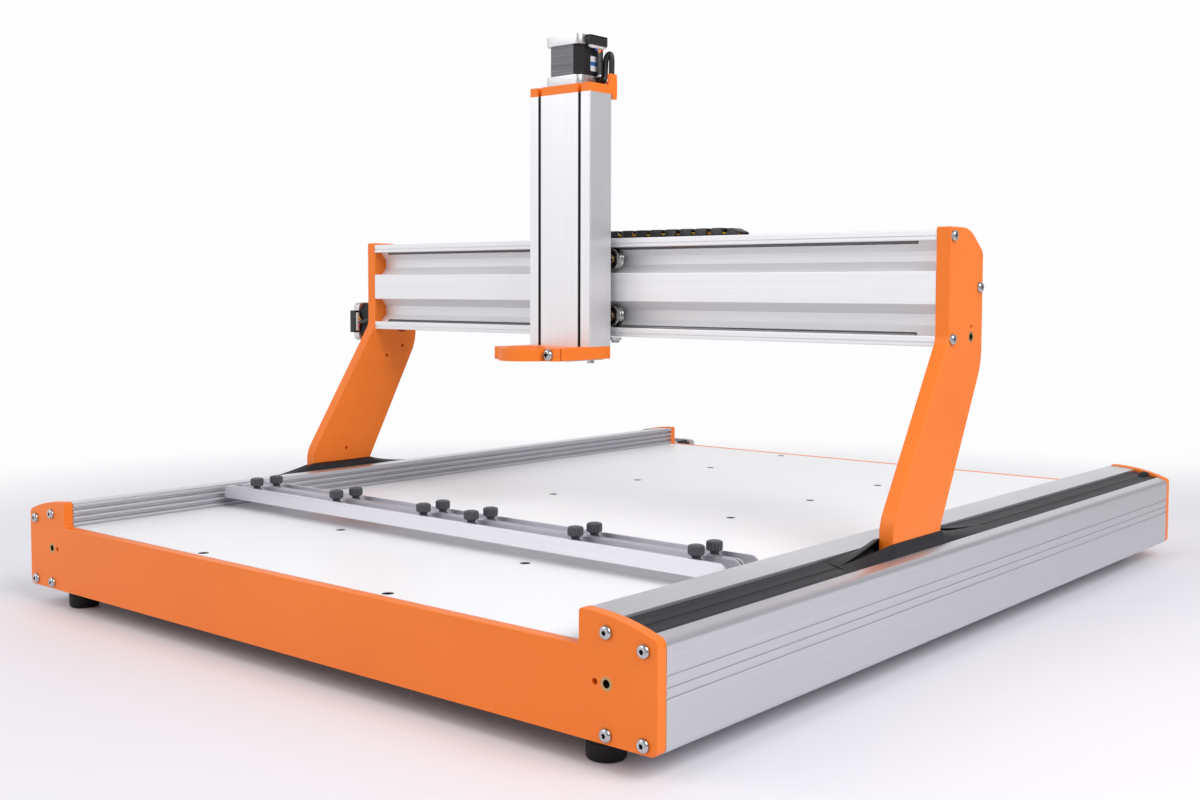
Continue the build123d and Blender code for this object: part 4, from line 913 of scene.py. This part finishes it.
def motor_place(stator, out, across):
    """The mounting plane of the motor whose stator is that solid, with +Z along its axis."""
    low, high = stator
    middle = (low + high) / 2
    way = Vector(out)
    span = abs(Vector(high - low).dot(way))
    return facing(middle - way * (span / 2 + CAP), out, across)


Z_AT = motor_place(solids("z_motor_stator")[0], (0, 0, 1), (1, 0, 0))
X_AT = motor_place(solids("x_motor_stator")[0], (-1, 0, 0), (0, -1, 0))
draw_motor("z_motor", Z_AT, "z_column", "Z", ("z_motor_end_caps", "z_motor_stator"))
draw_motor("x_motor", X_AT, "gantry", "X", ("x_motor_end_caps", "x_motor_stator"))
Y_SOLIDS = solids("y_motor_stators")
Y_ATS = [motor_place(stator, (0, 1, 0), (-1 if stator[0].x > 0 else 1, 0, 0)) for stator in Y_SOLIDS]
for side_name, at in zip(("left", "right"), Y_ATS):
    draw_motor(f"{side_name}_y_motor", at, "frame", "Y", ("y_motor_end_caps", "y_motor_stators"))

# From a motor's axes to those of what sits on its side
TURN = Matrix(((0, 0, 1, 0), (1, 0, 0, 0), (0, 1, 0, 0), (0, 0, 0, 1)))
PLUG_AT = Matrix.Translation((25 * MM, 0, 43 * MM)) @ TURN
GATHER = (0, -8.5 * MM, 3.4 * MM)
draw_connector("z_motor_plug", Z_AT @ PLUG_AT, "z_column", ["z_motor_connector"])
draw_connector("x_motor_plug", X_AT @ PLUG_AT, "gantry", ["x_motor_connector"])
for side_name, at in zip(("left", "right"), Y_ATS):
    draw_connector(f"{side_name}_y_motor_plug", at @ PLUG_AT, "frame")
Z_WIRES_AT = Z_AT @ PLUG_AT @ Matrix.Translation((3.8 * MM, 0, 0))
draw_wires("z_motor_wires", Z_WIRES_AT, GATHER, "z_column", ("blue", "orange", "yellow", "red"))
draw_wires("x_motor_wires", X_AT @ PLUG_AT, GATHER, "gantry", ("red", "blue", "orange", "yellow"))


def route(origin, *steps):
    """Points at steps in millimetres from an origin."""
    return [Vector(origin) + Vector(step) * MM for step in steps]


def draw_z_cables():
    """The Z motor's sleeve drops to the top plate, turns up and enters the boss behind the tab."""
    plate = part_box("z_top_plate")[1]
    plug = Z_AT.translation + Vector((28.4, 3.8, 0)) * MM
    seat = (plate.x - 7.25 * MM, plate.y - 4.5 * MM, plug.z)
    foot = (0.2, 0.6, 9)
    down = route(plug, (0, 0, 35.5), (0, 0, 22), foot)
    up = route(plug, foot, (0.5, 5, 3.6), (0.8, 9.4, 9), (1, 9.8, 22), (2.6, 9.2, 33), (7.4, 11, 36.5))
    up += route(seat, (0.8, -0.4, 29), (0, 0, 18), (0.1, 0, 6))
    draw_cable("z_motor_cable_sleeve", down, 2.5 * MM, SLEEVE, "z_column", ["z_motor_cable"])
    jacket = Form()
    jacket.tube(centre_line(up), 3.1 * MM, 20)
    jacket.done("z_motor_cable_jacket", [BLACK], "z_column", sharp=70)
    tie = Form()
    tie.at = Matrix.Translation(plug + Vector((0.2, 0.5, 9.5)) * MM)
    tie.lathe(millimetres((2.5, 0.0), (3.0, 0.1), (3.15, 0.5), (3.15, 1.9), (3.0, 2.3), (2.5, 2.4)), 32)
    tie.done("z_motor_cable_tie", [ZINC], "z_column")


def draw_x_cable():
    """The X motor's sleeve runs from its plug along the leg's outer face towards the cable chain."""
    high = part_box("x_motor_end_caps")[1]
    plug = X_AT @ PLUG_AT
    start = plug @ Vector((0, -7 * MM, 3.4 * MM))
    leg_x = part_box("left_gantry_leg")[0].x
    points = [start, plug @ Vector((0, -15 * MM, 3.4 * MM))]
    points += route((leg_x, start.y, start.z), (-9, 1, 6), (-5, 5, 18))
    points += route((leg_x, start.y, high.z), (-4.2, 14, 4), (-4.2, 30, 6))
    points += route((leg_x, high.y, high.z), (-4.2, -4, 4))
    draw_cable("x_motor_cable_sleeve", points, 2.3 * MM, SLEEVE, "gantry")


draw_z_cables()
draw_x_cable()
draw_label("z_motor_label", Z_AT @ Matrix.Translation((24.3 * MM, 0, 24 * MM)) @ TURN, "z_column")


# ---------------- rollers and screws

def draw_x_roller(node):
    """A ball-bearing roller: a grooved outer race, a sealed face and a bronze hub."""
    low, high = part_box(node)
    radius = (high.x - low.x) / 2
    half = (high.y - low.y) / 2
    form = Form()
    form.at = facing((low + high) / 2, (0, -1, 0), (1, 0, 0))
    groove = []
    for k in range(9):
        angle = pi * (0.14 + 0.72 * k / 8)
        groove.append((radius + 0.3 * MM - 3.3 * MM * sin(angle), -3.3 * MM * cos(angle)))
    rim = radius - 0.5 * MM
    seat = radius * 0.72
    near = [(seat, -half + 0.2 * MM), (radius * 0.74, -half), (rim, -half), (radius, -half + 0.5 * MM)]
    far = [(radius, half - 0.5 * MM), (rim, half), (radius * 0.74, half), (seat, half - 0.9 * MM)]
    form.lathe(near + groove + far, 64)
    seal = radius * 0.715
    form.slot = 1
    form.lathe([(seal, -half + 0.8 * MM), (seal, half - 1.2 * MM), (radius * 0.66, half - 0.9 * MM),
                (radius * 0.50, half - 0.9 * MM), (radius * 0.47, half - 1.3 * MM)], 48)
    hub = radius * 0.46
    form.slot = 2
    form.lathe([(hub, -half + 0.1 * MM), (hub, half - 0.3 * MM), (radius * 0.42, half),
                (radius * 0.27, half), (radius * 0.255, half - 0.4 * MM)], 48)
    form.done(f"{node}_bearing", [RACE, BLACK_STEEL, BRONZE], node, [node])


LEAD = 4 * MM
THREAD_DEEP = 1.1 * MM
JOURNAL_R = 3 * MM


def draw_leadscrew(node, body, way, thread_from, thread_to, name):
    """A screw with a trapezoidal thread between plain journals, along the direction `way`."""
    low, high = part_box(node)
    length = Vector(high - low).dot(way)
    start = (low + high) / 2 - way * (length / 2)
    radius = min((high - low)[i] for i in range(3)) / 2
    segments = 16
    turns = [tau * s / segments for s in range(segments)]
    form = Form()
    form.at = facing(start, way, (0, 1, 0))

    def journal(*heights):
        return [[(JOURNAL_R * cos(turn), JOURNAL_R * sin(turn), z) for turn in turns] for z in heights]

    rings = journal(0.0, thread_from)
    rows = int((thread_to - thread_from) / LEAD * 8)
    for row in range(rows + 1):
        z = thread_from + (thread_to - thread_from) * row / rows
        ring = []
        for s, turn in enumerate(turns):
            phase = (z / LEAD - s / segments) % 1.0
            slope = min(max((abs(phase - 0.5) - 0.16) / 0.16, 0.0), 1.0)
            reach = radius - THREAD_DEEP * slope
            ring.append((reach * cos(turn), reach * sin(turn), z))
        rings.append(ring)
    form.loft(rings + journal(thread_to, length))
    form.done(name, [GROUND], body, [node], sharp=50)


def draw_leadscrews():
    """The X screw's thread runs between the legs, the Z screw's up to the top plate."""
    x_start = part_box("x_leadscrew")[0].x
    z_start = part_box("z_leadscrew")[0].z
    z_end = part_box("z_profile")[1].z
    draw_leadscrew("x_leadscrew", "x_screw", Vector((1, 0, 0)),
                   -LEG_IN - x_start + 2 * MM, LEG_IN - x_start - 2 * MM, "x_threaded_screw")
    draw_leadscrew("z_leadscrew", "z_screw", Vector((0, 0, 1)),
                   0.5 * MM, z_end - z_start - 1 * MM, "z_threaded_screw")


for side in ("left", "right"):
    for level in ("upper", "lower"):
        draw_x_roller(f"x_roller_{side}_{level}")
draw_leadscrews()


# ---------------- cable chain

CHAIN_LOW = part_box("chain_lower_run")
CHAIN_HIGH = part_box("chain_upper_run")
CHAIN_Y = (CHAIN_LOW[0].y + CHAIN_LOW[1].y) / 2
CHAIN_H = CHAIN_LOW[1].z - CHAIN_LOW[0].z
CHAIN_W = CHAIN_LOW[1].y - CHAIN_LOW[0].y
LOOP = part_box("chain_loop_upper")
BEND_R = (CHAIN_HIGH[0].z + CHAIN_HIGH[1].z - CHAIN_LOW[0].z - CHAIN_LOW[1].z) / 4
BEND_AT = Vector((LOOP[0].x, CHAIN_Y, (CHAIN_LOW[0].z + CHAIN_HIGH[1].z) / 2))
# Each wire's colour, place across the chain and size, in millimetres
CHAIN_WIRES = (("yellow", -5.5, 1.0), ("orange", -1.6, 1.4), ("blue", 2.2, 0.6), ("yellow", 5.8, 1.3))
WIRE_MATERIALS = [WIRES[colour] for colour, y, size in CHAIN_WIRES]
WIRE_RISE = 1.4 * MM


def draw_link(form, at, pitch):
    """One chain link at its middle: +X of `at` along the chain, +Y across, +Z away from the bend."""
    form.at = at
    form.slot = 0
    half_w = CHAIN_W / 2
    half_h = CHAIN_H / 2
    for side in (-1, 1):
        outer = half_w * side
        # A keystone plate, wider on the bend's outer side, over a thinner neck that carries the hinge
        flip = -side
        oblong = rounded(pitch * 0.35, half_h - 0.2 * MM, 2.4 * MM, 5)
        plate = [(x * (1 + 12 * flip * y), y) for x, y in oblong]
        form.at = at @ facing((0, outer, 0), (0, side, 0), (1, 0, 0))
        form.prism(plate, -1.5 * MM, 0.0, 0.35 * MM)
        neck = [(x, y + flip * -2.2 * MM) for x, y in rounded(pitch * 0.5, 3.4 * MM, 1.2 * MM, 4)]
        form.at = at @ facing((0, outer - side * 1.6 * MM, 0), (0, side, 0), (1, 0, 0))
        form.prism(neck, -1.0 * MM, 0.0, 0.2 * MM)
    form.at = at
    bar = pitch * 0.31
    for way in (-1, 1):
        face = way * half_h
        inner = face - way * 1.9 * MM
        low = (-bar, -half_w + 0.8 * MM, min(face, inner))
        high = (bar, half_w - 0.8 * MM, max(face, inner))
        form.box(low, high, 0.5 * MM)


def draw_chain_wires(form, lines):
    form.at = Matrix()
    for k, line in enumerate(lines):
        form.slot = 1 + k
        form.tube(line, CHAIN_WIRES[k][2] * 1.25 * MM, 8)


def draw_chain_run(name, node):
    """A straight run of links, with the wires lying in it."""
    low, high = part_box(node)
    middle_z = (low.z + high.z) / 2
    length = high.x - low.x
    links = max(2, round(length / (20 * MM)))
    pitch = length / links
    form = Form()
    for k in range(links):
        at = Matrix.Translation((low.x + pitch * (k + 0.5), CHAIN_Y, middle_z))
        draw_link(form, at, pitch)
    lines = []
    steps = 48
    for k, (colour, y, size) in enumerate(CHAIN_WIRES):
        line = []
        for s in range(steps + 1):
            across = CHAIN_Y + y * MM + 0.7 * MM * sin(1.1 * s + k)
            height = middle_z + WIRE_RISE + 1.1 * MM * cos(0.7 * s + 2 * k)
            line.append(Vector((low.x + length * s / steps, across, height)))
        lines.append(line)
    draw_chain_wires(form, lines)
    piece = form.done(name, [BLACK] + WIRE_MATERIALS, stands_for=[node])
    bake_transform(piece)


def draw_chain_bend(name, node, body, way):
    """A quarter of the bend: two links, and the wires round it."""
    form = Form()
    links = 2
    pitch = BEND_R * pi / 2 / links
    for k in range(links):
        angle = way * pi / 2 * (k + 0.5) / links
        out = Vector((cos(angle), 0, sin(angle)))
        along = Vector((-sin(angle), 0, cos(angle)))
        turned = Matrix((along, out.cross(along), out)).transposed().to_4x4()
        draw_link(form, Matrix.Translation(BEND_AT + out * BEND_R) @ turned, pitch)
    reach = BEND_R + WIRE_RISE
    turns = [way * pi / 2 * s / 12 for s in range(13)]
    lines = []
    for colour, y, size in CHAIN_WIRES:
        lines.append([BEND_AT + Vector((reach * cos(turn), y * MM, reach * sin(turn))) for turn in turns])
    draw_chain_wires(form, lines)
    form.done(name, [BLACK] + WIRE_MATERIALS, body, [node])


draw_chain_run("chain_links_upper", "chain_upper_run")
draw_chain_run("chain_links_lower", "chain_lower_run")
draw_chain_bend("chain_links_bend_upper", "chain_loop_upper", "chain_bend_upper", 1)
draw_chain_bend("chain_links_bend_lower", "chain_loop_lower", "chain_bend_lower", -1)


# ---------------- stage, light and camera

WHITE = (0.985, 0.985, 1.0, 1)


def floor_material():
    """Pale floor near the machine, which fades to the white of the surroundings."""
    material = shader("studio_floor", (0.82, 0.81, 0.845), 0.6)
    nodes = material.node_tree.nodes
    position = place(material)
    distance = add(material, "VectorMath", {0: position}, "Value", operation="LENGTH")
    fade = spread(material, distance, 0.0, 1.0, 0.75, 1.55, "SMOOTHSTEP")
    # The far floor on the right of the machine glows less
    ahead = add(material, "VectorMath", {0: position}, operation="NORMALIZE")
    rightward = add(material, "SeparateXYZ", {0: ahead}, "X")
    dimming = spread(material, rightward, 1.0, 0.55, 0.0, 0.7, "SMOOTHSTEP")
    glow = add(material, "Emission", {"Color": WHITE, "Strength": dimming})
    paint = nodes["Principled BSDF"].outputs["BSDF"]
    mixed = add(material, "MixShader", {0: fade, 1: paint, 2: glow})
    feed(material, nodes["Material Output"].inputs["Surface"], mixed)
    return material


def draw_stage():
    reach = 40.0
    data = bpy.data.meshes.new("floor")
    corners = [(-reach, -reach, 0), (reach, -reach, 0), (reach, reach, 0), (-reach, reach, 0)]
    data.from_pydata(corners, [], [(0, 1, 2, 3)])
    data.materials.append(floor_material())
    ground = bpy.data.objects.new("floor", data)
    scene.collection.objects.link(ground)


def light_world():
    """White surroundings behind and on the left, darker overhead and on the right."""
    world = bpy.data.worlds.new("studio")
    scene.world = world
    world.use_nodes = True
    split = add(world, "SeparateXYZ", {0: add(world, "TexCoord", {}, "Generated")}).node.outputs
    rightward = spread(world, split["X"], 1.0, 0.0, -0.2, 0.35, "SMOOTHSTEP")
    upward = spread(world, split["Z"], 1.0, 0.0, 0.3, 1.1, "SMOOTHSTEP")
    both = add(world, "Math", {0: rightward, 1: upward}, operation="MULTIPLY")
    ramp = add(world, "ValToRGB", {"Fac": both})
    dark, light = ramp.node.color_ramp.elements
    dark.color = (0.42, 0.415, 0.44, 1)
    light.color = WHITE
    feed(world, world.node_tree.nodes["Background"].inputs["Color"], ramp)


def soft_box(name, at, towards, size, power):
    light = bpy.data.lights.new(name, "AREA")
    light.shape = "RECTANGLE"
    light.size, light.size_y = size
    light.energy = power
    lamp = bpy.data.objects.new(name, light)
    scene.collection.objects.link(lamp)
    lamp.location = at
    lamp.rotation_euler = (Vector(towards) - Vector(at)).to_track_quat("-Z", "Y").to_euler()


def place_camera():
    """The viewpoint in front of the right corner, just above the clamping bars."""
    yaw = 0.7005
    pitch = -0.0584
    roll = 0.0028
    forward = Vector((-sin(yaw) * cos(pitch), cos(yaw) * cos(pitch), sin(pitch)))
    level = Vector((cos(yaw), sin(yaw), 0))
    upright = level.cross(forward)
    right = cos(roll) * level + sin(roll) * upright
    up = -sin(roll) * level + cos(roll) * upright
    camera = bpy.data.objects.new("camera", bpy.data.cameras.new("camera"))
    scene.collection.objects.link(camera)
    turned = Matrix((right, up, -forward)).transposed().to_4x4()
    camera.matrix_world = Matrix.Translation((0.9665, -1.2285, 0.3326)) @ turned
    camera.data.sensor_width = 36.0
    camera.data.lens = 40.96
    camera.data.shift_y = -0.0262
    camera.data.clip_end = 200.0
    scene.camera = camera


draw_stage()
light_world()
soft_box("key_light", (2.1, -0.5, 1.9), (0, 0, 0.2), (1.8, 1.6), 52)
soft_box("front_light", (-1.2, -2.2, 1.8), (0, -0.1, 0.2), (1.8, 1.4), 15)
place_camera()
scene.view_settings.view_transform = "Standard"
